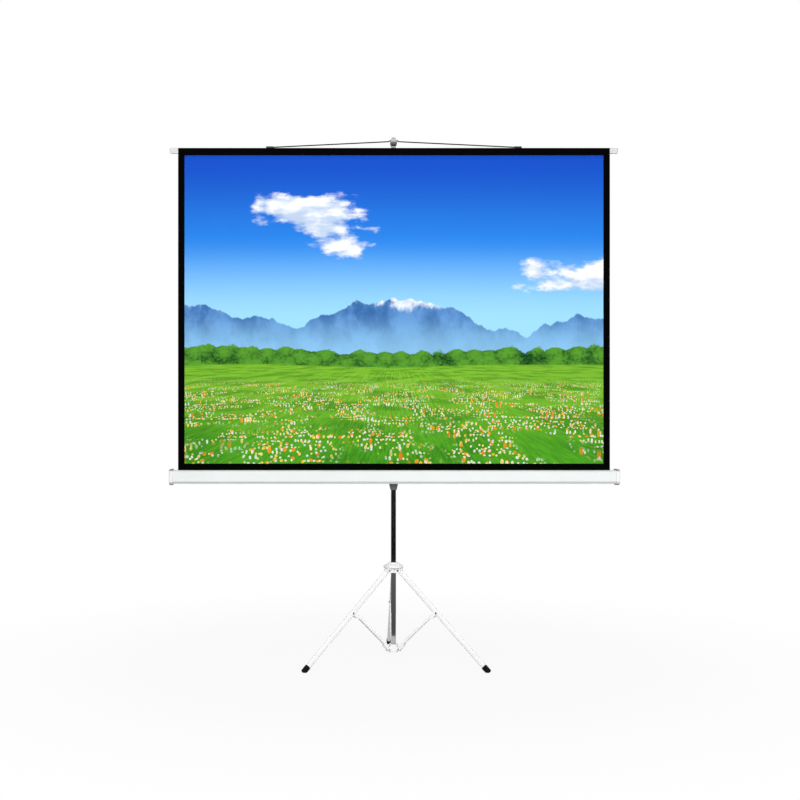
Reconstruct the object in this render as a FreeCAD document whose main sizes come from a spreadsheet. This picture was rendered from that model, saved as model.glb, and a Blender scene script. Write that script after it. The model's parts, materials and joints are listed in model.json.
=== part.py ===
# Tripod projection screen with a spring roller case, a telescoping mast and a wire bail.
# Lengths are millimetres and angles are degrees. The mast axis is Z, the floor is Z = 0,
# and the screen faces -Y. Each piece is one labelled object and one file in parts.
import FreeCAD
import Part
import Sketcher
import math
import os
import re

# Driving sizes
SIZES = {
    # how far a cut runs past the surface that it trims
    "cut_over": 1,
    # screen cloth: the picture, its black border and the cloth itself
    "picture_width": 1700,
    "picture_height": 1251,
    "border_side": 26.5,
    "border_top": 30.5,
    "border_low": 26.5,
    "cloth_thick": 0.5,
    # case: a sheet shell with slanted upper and lower edges and a slot in its top
    "case_base": 734.5,
    "case_depth": 58,
    "case_tall": 54,
    "case_wall": 1,
    "case_end_room": 18.5,
    "low_edge_deep": 12,
    "low_edge_tall": 10,
    "top_edge_deep": 7,
    "top_edge_tall": 6.5,
    "case_round": 2,
    "slot_width": 12,
    # end caps of the case
    "cap_length": 14,
    "cap_lip": 5,
    "cap_plug": 10,
    "cap_round": 5,
    "cap_gap": 0.2,
    "cap_bush_depth": 9,
    "screw_radius": 2,
    "screw_head_radius": 4,
    "screw_head_thick": 2.2,
    "screw_length": 9,
    "screw_edge_share": 0.6,
    "screw_spread": 9,
    # roller, its spring and its spindle
    "roller_radius": 14.5,
    "roller_wall": 1,
    "roller_forward": 4,
    "wrap_thick": 1.3,
    "cloth_gap": 0.3,
    "plug_length": 16,
    "spindle_radius": 4,
    "spindle_length": 570,
    "spindle_fit": 0.06,
    "spring_outer": 10.5,
    "spring_inner": 6,
    "anchor_length": 20,
    "anchor_inset": 24,
    "spindle_collar_radius": 9,
    "spindle_collar_length": 10,
    "roller_end_gap": 3,
    # top slat, its caps and the hem round it
    "slat_depth": 12,
    "slat_tall": 20.5,
    "slat_wall": 1.2,
    "slat_gap": 0.1,
    "slat_cap_length": 34,
    "slat_cap_plug": 22,
    "slat_cap_lip": 0.9,
    "slat_cap_round": 5,
    "hem_seam": 4,
    # wire bail and its brackets
    "wire_radius": 2.4,
    "wire_fit": 0.06,
    "bail_half": 489,
    "bail_rise": 39,
    "bail_flat": 13,
    "bail_kink": 8,
    "bail_drop": 7,
    "bail_lift": 3.9,
    "bracket_length": 30,
    "bracket_plate": 1.6,
    "bracket_leg": 15,
    "bracket_rivet_drop": 9,
    "bracket_rivet_share": 0.3,
    "barrel_radius": 3.7,
    "small_rivet_radius": 1.6,
    "small_rivet_head": 3,
    "small_rivet_dome": 1.2,
    # hanger hook on the extension
    "seat_reach": 14,
    "seat_gap": 0.3,
    "lip_gap": 0.33,
    "hook_neck": 27,
    "hook_plug": 30,
    "hook_half_neck": 9.5,
    "hook_half_wide": 14,
    "hook_half_seat": 11.5,
    "hook_half_tip": 7.5,
    "hook_tip": 14.5,
    "hook_lip": 7,
    "lip_start_angle": 2.5,
    "lip_end_angle": 10.5,
    "hook_back": 6,
    "neck_low_share": 0.85,
    "neck_mid_share": 0.5,
    "neck_wide_share": 0.45,
    "neck_top_share": 0.3,
    "tip_low_share": 0.3,
    "tip_front_share": 3,
    "seat_lip_share": 0.7,
    "seat_top_share": 0.9,
    # mast and extension tubes
    "mast_side": 20,
    "mast_wall": 1.2,
    "mast_corner": 2,
    "mast_base": 46,
    "mast_length": 1194,
    "extension_side": 16,
    "extension_wall": 1.2,
    "extension_corner": 1.5,
    "extension_length": 1185,
    "glide_fit": 0.1,
    "glide_head": 12,
    "glide_plug": 30,
    # bush and lock knob at the top of the mast
    "bush_half": 13.5,
    "bush_skirt": 18,
    "bush_head": 18,
    "bush_corner": 4,
    "bush_boss_radius": 7,
    "bush_boss_length": 6,
    "stud_radius": 3,
    "stud_fit": 0.06,
    "knob_radius": 15,
    "knob_thick": 13,
    "knob_gap": 1,
    "knob_neck": 2.6,
    "knob_low_round": 1,
    "knob_top_round": 2,
    "grip_radius": 4,
    "grip_count": 8,
    # tripod linkage: equal pin radius above and below, equal arms, so the collar runs straight
    "pin_offset": 27,
    "hub_pin_height": 56,
    "brace_length": 233,
    "leg_angle": 46.4,
    "pin_radius": 2.5,
    "pin_fit": 0.06,
    "pin_head_radius": 4,
    "pin_head_thick": 2,
    # legs and feet
    "leg_width": 14,
    "leg_depth": 21,
    "leg_wall": 1.2,
    "leg_plug": 30,
    "foot_width": 17.5,
    "foot_depth": 24,
    "foot_length": 32,
    "foot_sole": 18,
    "foot_round": 5,
    # braces
    "brace_wall": 1.2,
    "brace_side_gap": 0.4,
    "brace_nest_gap": 0.5,
    "brace_lap": 5,
    "brace_waist": 2,
    "brace_end": 6,
    "brace_low_open": 26,
    "brace_waist_start": 39,
    "brace_back_lap": 2.4,
    "brace_top_open": 14,
    # base hub
    "hub_radius": 18,
    "hub_above": 20,
    "hub_below": 10,
    "hub_floor": 4,
    "lug_gap": 0.5,
    "lug_reach": 6.5,
    "lug_lift": 2,
    "lug_root_share": 0.7,
    "hub_round": 2,
    # leg collar
    "collar_radius": 41,
    "collar_rim": 5,
    "collar_neck_radius": 19,
    "collar_neck": 21,
    "collar_cheek": 5.4,
    "collar_reach": 10,
    "collar_below": 10,
    "collar_round": 2,
    "dome_out_share": 0.84,
    "dome_low_share": 0.27,
    "dome_in_share": 1.26,
    "dome_high_share": 0.5,
    "slide_gap": 0.2,
    "leg_top_gap": 0.9,
    # carriage, its release lever and the pivot of the case
    "carriage_half": 17.5,
    "carriage_foot_half": 12.5,
    "carriage_front": 14,
    "carriage_back": 6,
    "carriage_above": 38,
    "carriage_below": 30.5,
    "carriage_taper": 24,
    "carriage_round": 2,
    "ear_inner": 9.2,
    "ear_thick": 3,
    "ear_reach": 11,
    "ear_below": 8,
    "ear_above": 6,
    "lever_pin_radius": 2,
    "lever_pin_out": 6,
    "lever_pin_up": 8,
    "lever_pin_head": 1.5,
    "lever_pin_head_radius": 3.4,
    "lever_gap": 0.3,
    "lever_nose_half": 5.5,
    "lever_nose_gap": 1,
    "lever_shoulder_gap": 1.5,
    "lever_drop": 56,
    "lever_knee_drop": 17,
    "lever_knee_out": 6.4,
    "lever_heel": 2.4,
    "lever_thick": 4,
    "lever_out": 16,
    "window_half": 6.5,
    "window_low": 6,
    "window_high": 14,
    "bolt_radius": 5,
    "bolt_head_radius": 8,
    "bolt_head_thick": 3.4,
    "nut_half_flat": 8,
    "nut_thick": 6,
    "saddle_half": 45,
    "saddle_half_tall": 20,
    "saddle_thick": 2.5,
    "saddle_round": 6,
    "saddle_rivet_out": 36,
    "saddle_rivet_up": 10,
    "saddle_rivet_radius": 2,
    "saddle_rivet_fit": 0.05,
    "saddle_rivet_head": 4,
    "saddle_rivet_dome": 1.5,
}

# Sizes that follow from the driving sizes
DERIVED = {
    "mast_half": "mast_side / 2",
    "mast_bore_half": "mast_side / 2 - mast_wall",
    "mast_top": "mast_base + mast_length",
    "cloth_width": "picture_width + 2 * border_side",
    "case_length": "cloth_width + 2 * case_end_room",
    "case_top": "case_base + case_tall",
    "case_mid_z": "case_base + case_tall / 2",
    "carriage_face": "-mast_side / 2 - carriage_front",
    "case_back": "-mast_side / 2 - carriage_front - saddle_thick",
    "case_mid_y": "case_back - case_depth / 2",
    "low_slant": "sqrt(low_edge_deep * low_edge_deep + low_edge_tall * low_edge_tall)",
    "top_slant": "sqrt(top_edge_deep * top_edge_deep + top_edge_tall * top_edge_tall)",
    "roller_y": "case_mid_y - roller_forward",
    "roll_radius": "roller_radius + wrap_thick",
    "roller_half": "cloth_width / 2 + roller_end_gap",
    "case_half": "case_length / 2",
    "cloth_y": "roller_y + roll_radius + cloth_gap + cloth_thick / 2",
    "hem_base": "case_top + border_low + picture_height",
    "hem_top": "hem_base + border_top",
    "slat_top": "hem_top - cloth_thick - slat_gap",
    "slat_mid_z": "slat_top - slat_tall / 2",
    "slat_mid_y": "cloth_y + cloth_thick / 2 + slat_gap + slat_depth / 2",
    "hem_back": "slat_mid_y + slat_depth / 2 + slat_gap",
    "bail_y": "slat_mid_y",
    "bail_z": "hem_top + bail_lift",
    "bail_lean": "asin((-seat_reach - bail_y) / bail_rise)",
    "seat_z": "bail_z + bail_rise * cos(bail_lean)",
    "seat_half": "wire_radius + seat_gap",
    "lip_radius": "bail_rise - wire_radius - lip_gap",
    "extension_top": "seat_z - hook_neck",
    "extension_base": "extension_top - extension_length",
    "extension_half": "extension_side / 2",
    "extension_bore_half": "extension_side / 2 - extension_wall",
    "collar_pin_height": "hub_pin_height + 2 * brace_length * cos(leg_angle)",
    "floor_reach": "collar_pin_height / cos(leg_angle)",
    "leg_end": "floor_reach - foot_sole",
    "leg_half": "leg_width / 2",
    "leg_half_depth": "leg_depth / 2",
    "leg_corner": "leg_depth / 2 * tan(22.5)",
    "brace_inner": "leg_width / 2 + brace_side_gap",
    "brace_half": "leg_width / 2 + brace_side_gap + brace_wall",
    "brace_nest": "leg_depth / 2 + brace_nest_gap",
    "brace_back": "leg_depth / 2 + brace_nest_gap + brace_wall",
    "lug_half": "brace_inner - lug_gap",
    "collar_slot_half": "leg_width / 2 + brace_side_gap",
    "collar_half": "collar_slot_half + collar_cheek",
    "collar_slot_in": "pin_offset - leg_depth / 2 - leg_top_gap",
    "collar_roof": "leg_depth / 2 + leg_top_gap",
    "slide_half": "mast_side / 2 + slide_gap",
    "carriage_rear": "mast_side / 2 + carriage_back",
    "lever_y": "carriage_rear + lever_pin_out",
    "lever_half": "ear_inner - lever_gap",
    "knob_y": "bush_half + bush_boss_length + knob_gap",
}

SIDES = {"left": "-60", "right": "60", "rear": "180"}

doc = FreeCAD.newDocument("projection_screen")
sizes = doc.addObject("Spreadsheet::Sheet", "Sizes")
for row, (alias, amount) in enumerate(SIZES.items(), 1):
    sizes.set(f"A{row}", alias)
    sizes.set(f"B{row}", str(amount))
    sizes.setAlias(f"B{row}", alias)
doc.recompute()

WORD = re.compile(r"[a-z_]+")
TINY = 1e-6


def formula(text):
    """An expression with its bare size names pointed at their sheets."""
    def point(match):
        word = match.group(0)
        if word in SIZES:
            return "Sizes." + word
        if word in DERIVED:
            return "Derived." + word
        return word
    return WORD.sub(point, text)


derived = doc.addObject("Spreadsheet::Sheet", "Derived")
for row, (alias, text) in enumerate(DERIVED.items(), 1):
    derived.set(f"A{row}", alias)
    derived.set(f"B{row}", "=" + formula(text))
    derived.setAlias(f"B{row}", alias)
doc.recompute()


def bind(thing, prop, text):
    thing.setExpression(prop, formula(text))


def number(thing, text):
    return float(thing.evalExpression(formula(text)))


def new_body(label):
    body = doc.addObject("PartDesign::Body", label)
    body.Label = label
    return body


def origin_part(body, role):
    return [part for part in body.Origin.OriginFeatures if part.Role == role][0]


def hold(sketch, geo, pos, u, v):
    """Fix a point of a sketch at the expressions u and v."""
    for kind, axis, text in (("DistanceX", -2, u), ("DistanceY", -1, v)):
        if text == "0":
            sketch.addConstraint(Sketcher.Constraint("PointOnObject", geo, pos, axis))
        else:
            rule = Sketcher.Constraint(kind, -1, 1, geo, pos, number(sketch, text))
            index = sketch.addConstraint(rule)
            bind(sketch, f"Constraints[{index}]", text)


def add_polygon(sketch, corners):
    first = sketch.GeometryCount
    count = len(corners)
    spots = [FreeCAD.Vector(number(sketch, u), number(sketch, v), 0) for u, v in corners]
    for i in range(count):
        sketch.addGeometry(Part.LineSegment(spots[i], spots[(i + 1) % count]), False)
    for i in range(count):
        after = first + (i + 1) % count
        sketch.addConstraint(Sketcher.Constraint("Coincident", first + i, 2, after, 1))
    for i, (u, v) in enumerate(corners):
        hold(sketch, first + i, 1, u, v)


def add_circle(sketch, u, v, radius):
    centre = FreeCAD.Vector(number(sketch, u), number(sketch, v), 0)
    amount = number(sketch, radius)
    ring = Part.Circle(centre, FreeCAD.Vector(0, 0, 1), amount)
    geo = sketch.addGeometry(ring, False)
    index = sketch.addConstraint(Sketcher.Constraint("Radius", geo, amount))
    bind(sketch, f"Constraints[{index}]", radius)
    if u == "0" and v == "0":
        sketch.addConstraint(Sketcher.Constraint("Coincident", geo, 3, -1, 1))
    else:
        hold(sketch, geo, 3, u, v)


def add_oval(sketch, half_width, half_depth):
    """A flat oval round the origin with its long axis along v."""
    radius = number(sketch, half_width)
    shift = number(sketch, half_depth) - radius
    normal = FreeCAD.Vector(0, 0, 1)
    top = Part.Circle(FreeCAD.Vector(0, shift, 0), normal, radius)
    low = Part.Circle(FreeCAD.Vector(0, -shift, 0), normal, radius)
    first = sketch.addGeometry(Part.ArcOfCircle(top, 0, math.pi), False)
    sketch.addGeometry(Part.ArcOfCircle(low, math.pi, 2 * math.pi), False)
    ends = ((radius, -shift, radius, shift), (-radius, shift, -radius, -shift))
    for u0, v0, u1, v1 in ends:
        line = Part.LineSegment(FreeCAD.Vector(u0, v0, 0), FreeCAD.Vector(u1, v1, 0))
        sketch.addGeometry(line, False)
    joins = ((1, 2, 2, 1), (2, 2, 0, 1), (0, 2, 3, 1), (3, 2, 1, 1))
    for geo_a, pos_a, geo_b, pos_b in joins:
        rule = Sketcher.Constraint("Tangent", first + geo_a, pos_a, first + geo_b, pos_b)
        sketch.addConstraint(rule)
    for geo, sign in ((first, ""), (first + 1, "-")):
        index = sketch.addConstraint(Sketcher.Constraint("Radius", geo, radius))
        bind(sketch, f"Constraints[{index}]", half_width)
        hold(sketch, geo, 3, "0", f"{sign}({half_depth} - ({half_width}))")


def draw(body, name, plane, polygons=(), circles=(), oval=None, offset=None):
    """A sketch on one of the body's own planes, with every point held by expressions."""
    sketch = body.newObject("Sketcher::SketchObject", f"{body.Name}_{name}")
    sketch.AttachmentSupport = [(origin_part(body, plane + "_Plane"), "")]
    sketch.MapMode = "FlatFace"
    if offset is not None:
        bind(sketch, "AttachmentOffset.Base.z", offset)
    for corners in polygons:
        add_polygon(sketch, corners)
    for u, v, radius in circles:
        add_circle(sketch, u, v, radius)
    if oval is not None:
        add_oval(sketch, *oval)
    return sketch


def box_corners(u0, v0, u1, v1):
    return [(u0, v0), (u1, v0), (u1, v1), (u0, v1)]


def square(half):
    return box_corners(f"-({half})", f"-({half})", half, half)


def flip(corners):
    """The same corners mirrored across the v axis."""
    return [(u if u == "0" else f"-({u})", v) for u, v in reversed(corners)]


def feature(body, kind, sketch, length, both, back):
    item = body.newObject("PartDesign::" + kind, f"{sketch.Name}_{kind.lower()}")
    item.Profile = sketch
    if both:
        item.SideType = "Symmetric"
    item.Reversed = back
    if length is None:
        item.Type = "ThroughAll"
    else:
        bind(item, "Length", length)
    return item


def pad(body, sketch, length, both=False, back=False):
    """Extrude a sketch along its normal, backwards, or half to each side."""
    return feature(body, "Pad", sketch, length, both, back)


def pocket(body, sketch, length=None, both=False, back=False):
    """Cut against a sketch's normal, along it when back is set, or right through both ways."""
    return feature(body, "Pocket", sketch, length, both, back)


def turned(label, corners):
    """A piece turned about its own Z axis from a half section of (radius, height) corners."""
    body = new_body(label)
    sketch = draw(body, "section", "XZ", [corners])
    spin = body.newObject("PartDesign::Revolution", f"{body.Name}_spin")
    spin.Profile = sketch
    spin.ReferenceAxis = (sketch, ["V_Axis"])
    return body


def ring_pattern(body, item, count):
    pattern = body.newObject("PartDesign::PolarPattern", f"{item.Name}_ring")
    pattern.Originals = [item]
    pattern.Axis = (origin_part(body, "Z_Axis"), [""])
    pattern.Angle = 360
    pattern.Occurrences = count
    body.Tip = pattern
    return pattern


def soften(body, name, radius, wanted):
    """Round the edges of a body that the test picks out."""
    doc.recompute()
    edges = body.Tip.Shape.Edges
    picked = [f"Edge{i}" for i, edge in enumerate(edges, 1) if wanted(edge)]
    if not picked:
        raise RuntimeError(f"{body.Label}: no edge to round for {name}")
    item = body.newObject("PartDesign::Fillet", f"{body.Name}_{name}")
    item.Base = (body.Tip if body.Tip is not item else item.BaseFeature, picked)
    bind(item, "Radius", radius)


def along(edge, axis):
    """Whether an edge is straight and runs along X, Y or Z."""
    if not isinstance(edge.Curve, Part.Line):
        return False
    return abs(getattr(edge.Curve.Direction, axis)) > 1 - TINY


def middle(edge):
    return edge.BoundBox.Center


def pose(x="0", y="0", z="0", axis="z", angle="0"):
    """The expression of one placement: a shift after a turn about X, Y or Z."""
    one = {"x": "1; 0; 0", "y": "0; 1; 0", "z": "0; 0; 1"}[axis]
    shift = f"create(<<vector>>; {x}; {y}; {z})"
    turn = f"create(<<rotation>>; create(<<vector>>; {one}); {angle})"
    return f"create(<<placement>>; {shift}; {turn})"


def place(thing, *poses):
    bind(thing, "Placement", " * ".join(poses))


def group(label, members):
    """Like pieces that share one file as separate solids."""
    bunch = doc.addObject("Part::Compound", label)
    bunch.Label = label
    bunch.Links = members
    return bunch


def octagon(inset):
    """Corners of the case section, moved in by an inset, about the middle of the case."""
    low_side = f"low_edge_tall + ({inset}) * (low_slant - low_edge_tall) / low_edge_deep"
    low_flat = f"low_edge_deep + ({inset}) * (low_slant - low_edge_deep) / low_edge_tall"
    top_side = f"top_edge_tall + ({inset}) * (top_slant - top_edge_tall) / top_edge_deep"
    top_flat = f"top_edge_deep + ({inset}) * (top_slant - top_edge_deep) / top_edge_tall"
    front = f"(case_depth / 2 - ({inset}))"
    high = f"(case_tall / 2 - ({inset}))"
    half = [
        (f"case_depth / 2 - ({low_flat})", f"-{high}"),
        (front, f"{low_side} - case_tall / 2"),
        (front, f"case_tall / 2 - ({top_side})"),
        (f"case_depth / 2 - ({top_flat})", high),
    ]
    return half + flip(half)


def rivet(label, radius, length, head_radius, head_thick):
    """A shank centred on its middle with a flat head at each end."""
    top = f"({length}) / 2"
    end = f"(({length}) / 2 + {head_thick})"
    return turned(label, [
        ("0", f"-{end}"),
        (head_radius, f"-{end}"),
        (head_radius, f"-{top}"),
        (radius, f"-{top}"),
        (radius, top),
        (head_radius, top),
        (head_radius, end),
        ("0", end),
    ])


NODES = []


def keep(thing):
    NODES.append(thing)
    return thing


# Mast
mast = new_body("mast_tube")
pad(mast, draw(mast, "outside", "XY", [square("mast_half")], offset="mast_base"), "mast_length")
soften(mast, "corners", "mast_corner", lambda edge: along(edge, "z"))
pocket(mast, draw(mast, "bore", "XY", [square("mast_bore_half")]), None, both=True)
keep(mast)

# Base hub: a round boss with a square socket and three lugs for the braces
hub = new_body("base_hub")
hub_low = "-hub_below - hub_floor"
hub_disc = draw(hub, "boss", "XY", circles=[("0", "0", "hub_radius")], offset=hub_low)
pad(hub, hub_disc, "hub_above + hub_below + hub_floor")
lug_corners = [
    ("mast_half", "lug_lift - hub_below"),
    ("pin_offset + lug_reach / 2", "lug_lift - hub_below"),
    ("pin_offset + lug_reach", "-lug_reach / 2"),
    ("pin_offset + lug_reach", "lug_reach / 2"),
    ("pin_offset + lug_reach / 2", "lug_reach"),
    ("mast_half", "hub_above * lug_root_share"),
]
lug = pad(hub, draw(hub, "lug", "YZ", [lug_corners]), "2 * lug_half", both=True)
ring_pattern(hub, lug, 3)
soften(hub, "rims", "hub_round", lambda edge: isinstance(edge.Curve, Part.Circle)
       and edge.Curve.Radius > number(hub, "hub_radius - hub_round")
       and abs(edge.BoundBox.ZLength) < TINY and middle(edge).z < 0)
socket = draw(hub, "socket", "XY", [square("mast_half")], offset="-hub_below")
pocket(hub, socket, "2 * hub_above + hub_below", back=True)
hub_hole = pocket(hub, draw(hub, "pin_hole", "YZ", circles=[("pin_offset", "0", "pin_radius")]),
                  "2 * brace_half", both=True)
ring_pattern(hub, hub_hole, 3)
place(hub, pose(z="hub_pin_height"))
keep(hub)

hub_pins = []
for side, turn in SIDES.items():
    pin = rivet("hub_pin_" + side, "pin_radius", "2 * brace_half + brace_side_gap",
                "pin_head_radius", "pin_head_thick")
    place(pin, pose(axis="z", angle=turn),
          pose(y="-pin_offset", z="hub_pin_height", axis="y", angle="90"))
    hub_pins.append(pin)
keep(group("hub_pins", hub_pins))

# Bush on the mast top, which guides the extension, and the knob that clamps it
bush = new_body("mast_top_bush")
bush_block = draw(bush, "block", "XY", [square("bush_half")], offset="-bush_skirt")
pad(bush, bush_block, "bush_skirt + bush_head")
soften(bush, "corners", "bush_corner", lambda edge: along(edge, "z"))
boss = draw(bush, "boss", "XZ", circles=[("0", "bush_head / 2", "bush_boss_radius")],
            offset="-bush_half + mast_wall")
pad(bush, boss, "bush_boss_length + mast_wall", back=True)
skirt = draw(bush, "skirt", "XY", [square("mast_half")], offset="-bush_skirt")
pocket(bush, skirt, "bush_skirt", back=True)
pocket(bush, draw(bush, "guide", "XY", [square("extension_half + glide_fit")]), None, both=True)
thread = draw(bush, "thread", "XZ", circles=[("0", "bush_head / 2", "stud_radius + stud_fit")])
pocket(bush, thread, "2 * bush_half + bush_boss_length")
place(bush, pose(z="mast_top"))
keep(bush)

knob = turned("lock_knob", [
    ("0", "extension_half + cloth_gap - knob_y"),
    ("stud_radius", "extension_half + cloth_gap - knob_y"),
    ("stud_radius", "0"),
    ("bush_boss_radius", "0"),
    ("bush_boss_radius", "knob_neck"),
    ("knob_radius - knob_low_round", "knob_neck"),
    ("knob_radius", "knob_neck + knob_low_round"),
    ("knob_radius", "knob_thick - knob_top_round"),
    ("knob_radius - knob_top_round", "knob_thick"),
    ("0", "knob_thick"),
])
grip = draw(knob, "grip", "XY", circles=[("knob_radius + grip_radius / 2", "0", "grip_radius")])
grip_cut = pocket(knob, grip, "2 * knob_thick", back=True)
ring_pattern(knob, grip_cut, int(SIZES["grip_count"]))
place(knob, pose(y="knob_y", z="mast_top + bush_head / 2", axis="x", angle="-90"))
keep(knob)

# Leg collar: a domed disc with three forked arms under it
collar = turned("leg_collar", [
    ("0", "collar_roof"),
    ("collar_radius - collar_round", "collar_roof"),
    ("collar_radius", "collar_roof + collar_round"),
    ("collar_radius", "collar_roof + collar_rim"),
    ("collar_radius * dome_out_share", "collar_roof + collar_rim + collar_neck * dome_low_share"),
    ("collar_neck_radius * dome_in_share", "collar_roof + collar_rim + collar_neck * dome_high_share"),
    ("collar_neck_radius", "collar_roof + collar_neck"),
    ("0", "collar_roof + collar_neck"),
])
arm_corners = [
    ("0", "-collar_below"),
    ("pin_offset + collar_reach / 2", "-collar_below"),
    ("pin_offset + collar_reach", "-collar_below / 2"),
    ("pin_offset + collar_reach", "collar_roof + collar_round"),
    ("0", "collar_roof + collar_round"),
]
arm = pad(collar, draw(collar, "arm", "YZ", [arm_corners]), "2 * collar_half", both=True)
ring_pattern(collar, arm, 3)
slot_corners = box_corners("collar_slot_in", "-2 * collar_below", "2 * collar_radius", "collar_roof")
slot = pocket(collar, draw(collar, "slot", "YZ", [slot_corners]), "2 * collar_slot_half", both=True)
ring_pattern(collar, slot, 3)
pocket(collar, draw(collar, "bore", "XY", [square("slide_half")]), None, both=True)
pin_hole = draw(collar, "pin_hole", "YZ", circles=[("pin_offset", "0", "pin_radius")])
ring_pattern(collar, pocket(collar, pin_hole, "2 * collar_half", both=True), 3)
place(collar, pose(z="collar_pin_height"))
keep(collar)

collar_pins = []
for side, turn in SIDES.items():
    pin = rivet("collar_pin_" + side, "pin_radius", "2 * collar_half",
                "pin_head_radius", "pin_head_thick")
    place(pin, pose(axis="z", angle=turn),
          pose(y="-pin_offset", z="collar_pin_height", axis="y", angle="90"))
    collar_pins.append(pin)
keep(group("collar_pins", collar_pins))

# Legs, their plugs and feet, the braces and the rivets between them
LEG_BORES = [("0", "0", "pin_radius + pin_fit"), ("0", "-brace_length", "pin_radius")]
CORNER = [
    ("leg_half_depth + cut_over", "leg_corner - cut_over"),
    ("leg_half_depth + cut_over", "leg_half_depth + cut_over"),
    ("leg_corner - cut_over", "leg_half_depth + cut_over"),
]


def make_leg(side, at):
    leg = new_body("leg_" + side)
    oval = draw(leg, "outside", "XY", oval=("leg_half", "leg_half_depth"), offset="leg_half_depth")
    pad(leg, oval, "leg_half_depth + leg_end", back=True)
    bore = draw(leg, "bore", "XY", oval=("leg_half - leg_wall", "leg_half_depth - leg_wall"))
    pocket(leg, bore, None, both=True)
    trim = draw(leg, "trim", "YZ", [CORNER, flip(CORNER)])
    pocket(leg, trim, "2 * leg_width", both=True)
    pocket(leg, draw(leg, "bores", "YZ", circles=LEG_BORES), "2 * leg_width", both=True)
    place(leg, *at)
    keep(leg)


def make_leg_plug(side, at):
    plug = new_body("leg_plug_" + side)
    top = "leg_half_depth - leg_corner"
    oval = ("leg_half - leg_wall", "leg_half_depth - leg_wall")
    sketch = draw(plug, "outside", "XY", oval=oval, offset=top)
    pad(plug, sketch, f"leg_plug + {top}", back=True)
    trim = draw(plug, "trim", "YZ", [CORNER, flip(CORNER)])
    pocket(plug, trim, "2 * leg_width", both=True)
    pocket(plug, draw(plug, "bore", "YZ", circles=LEG_BORES[:1]), "2 * leg_width", both=True)
    place(plug, *at)
    keep(plug)


def make_foot(side, at):
    foot = new_body("foot_" + side)
    sketch = draw(foot, "outside", "XY", oval=("foot_width / 2", "foot_depth / 2"),
                  offset="-floor_reach")
    pad(foot, sketch, "foot_length")
    low = number(foot, "-floor_reach")
    soften(foot, "tip", "foot_round", lambda edge: abs(edge.BoundBox.ZLength) < TINY
           and abs(middle(edge).z - low) < TINY)
    side_y = "foot_depth"
    line_in = "(-foot_depth * sin(leg_angle) - collar_pin_height) / cos(leg_angle)"
    line_out = "(foot_depth * sin(leg_angle) - collar_pin_height) / cos(leg_angle)"
    deep = "-floor_reach - 2 * foot_length"
    floor = [("-" + side_y, line_in), (side_y, line_out), (side_y, deep), ("-" + side_y, deep)]
    pocket(foot, draw(foot, "floor", "YZ", [floor]), "2 * foot_width", both=True)
    well = draw(foot, "well", "XY", oval=("leg_half", "leg_half_depth"), offset="-leg_end")
    pocket(foot, well, "2 * foot_length", back=True)
    place(foot, *at)
    keep(foot)


def make_brace(side, at):
    brace = new_body("brace_" + side)
    outline = [
        ("-brace_lap", "-brace_end"),
        ("-brace_lap", "brace_low_open"),
        ("brace_waist", "brace_waist_start"),
        ("brace_waist", "brace_length - brace_waist_start"),
        ("-brace_lap", "brace_length - brace_low_open"),
        ("-brace_lap", "brace_length + brace_end"),
        ("brace_lap", "brace_length + brace_end"),
        ("brace_back", "brace_length - brace_top_open"),
        ("brace_back", "brace_low_open - brace_back_lap"),
        ("brace_lap", "brace_lap"),
        ("brace_lap", "-brace_end"),
    ]
    pad(brace, draw(brace, "outline", "YZ", [outline]), "2 * brace_half", both=True)
    inside = box_corners("-brace_inner", "-2 * brace_lap", "brace_inner", "brace_nest")
    pocket(brace, draw(brace, "inside", "XY", [inside]), None, both=True)
    ends = [
        box_corners("-brace_inner", "-2 * brace_end", "brace_inner", "brace_low_open"),
        box_corners("-brace_inner", "brace_length - brace_top_open", "brace_inner",
                    "brace_length + 2 * brace_end"),
    ]
    pocket(brace, draw(brace, "ends", "XZ", ends), None, both=True)
    fit = "pin_radius + pin_fit"
    bores = [("0", "0", fit), ("0", "brace_length", fit)]
    pocket(brace, draw(brace, "bores", "YZ", circles=bores), "4 * brace_half", both=True)
    place(brace, *at)
    keep(brace)


for side, turn in SIDES.items():
    round_mast = pose(axis="z", angle=turn)
    leg_at = pose(y="-pin_offset", z="collar_pin_height", axis="x", angle="-leg_angle")
    brace_at = pose(y="-pin_offset", z="hub_pin_height", axis="x", angle="leg_angle")
    make_leg(side, (round_mast, leg_at))
    make_leg_plug(side, (round_mast, leg_at))
    make_foot(side, (round_mast, leg_at))
    make_brace(side, (round_mast, brace_at))
    joint = rivet("brace_rivet_" + side, "pin_radius", "2 * brace_half + brace_side_gap",
                  "pin_head_radius", "pin_head_thick")
    place(joint, round_mast, leg_at, pose(z="-brace_length", axis="y", angle="90"))
    keep(joint)

# Carriage: a sleeve on the mast with a tapered foot, a pivot boss and ears for the lever
carriage = new_body("carriage")
front_corners = [
    ("-carriage_foot_half", "-carriage_below - carriage_taper"),
    ("carriage_foot_half", "-carriage_below - carriage_taper"),
    ("carriage_half", "-carriage_below"),
    ("carriage_half", "carriage_above"),
    ("-carriage_half", "carriage_above"),
    ("-carriage_half", "-carriage_below"),
]
sleeve = draw(carriage, "sleeve", "XZ", [front_corners], offset="-carriage_rear")
pad(carriage, sleeve, "carriage_rear - carriage_face")
soften(carriage, "corners", "carriage_round", lambda edge: isinstance(edge.Curve, Part.Line)
       and abs(edge.Curve.Direction.y) < TINY and abs(edge.Curve.Direction.z) > 0.5)
ear_foot = "lever_pin_up - ear_below"
ear_head = "lever_pin_up + ear_above"
ears = [
    box_corners("ear_inner", ear_foot, "ear_inner + ear_thick", ear_head),
    box_corners("-ear_inner - ear_thick", ear_foot, "-ear_inner", ear_head),
]
ear_sketch = draw(carriage, "ears", "XZ", ears, offset="-carriage_rear - ear_reach")
pad(carriage, ear_sketch, "ear_reach + carriage_round")
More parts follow.
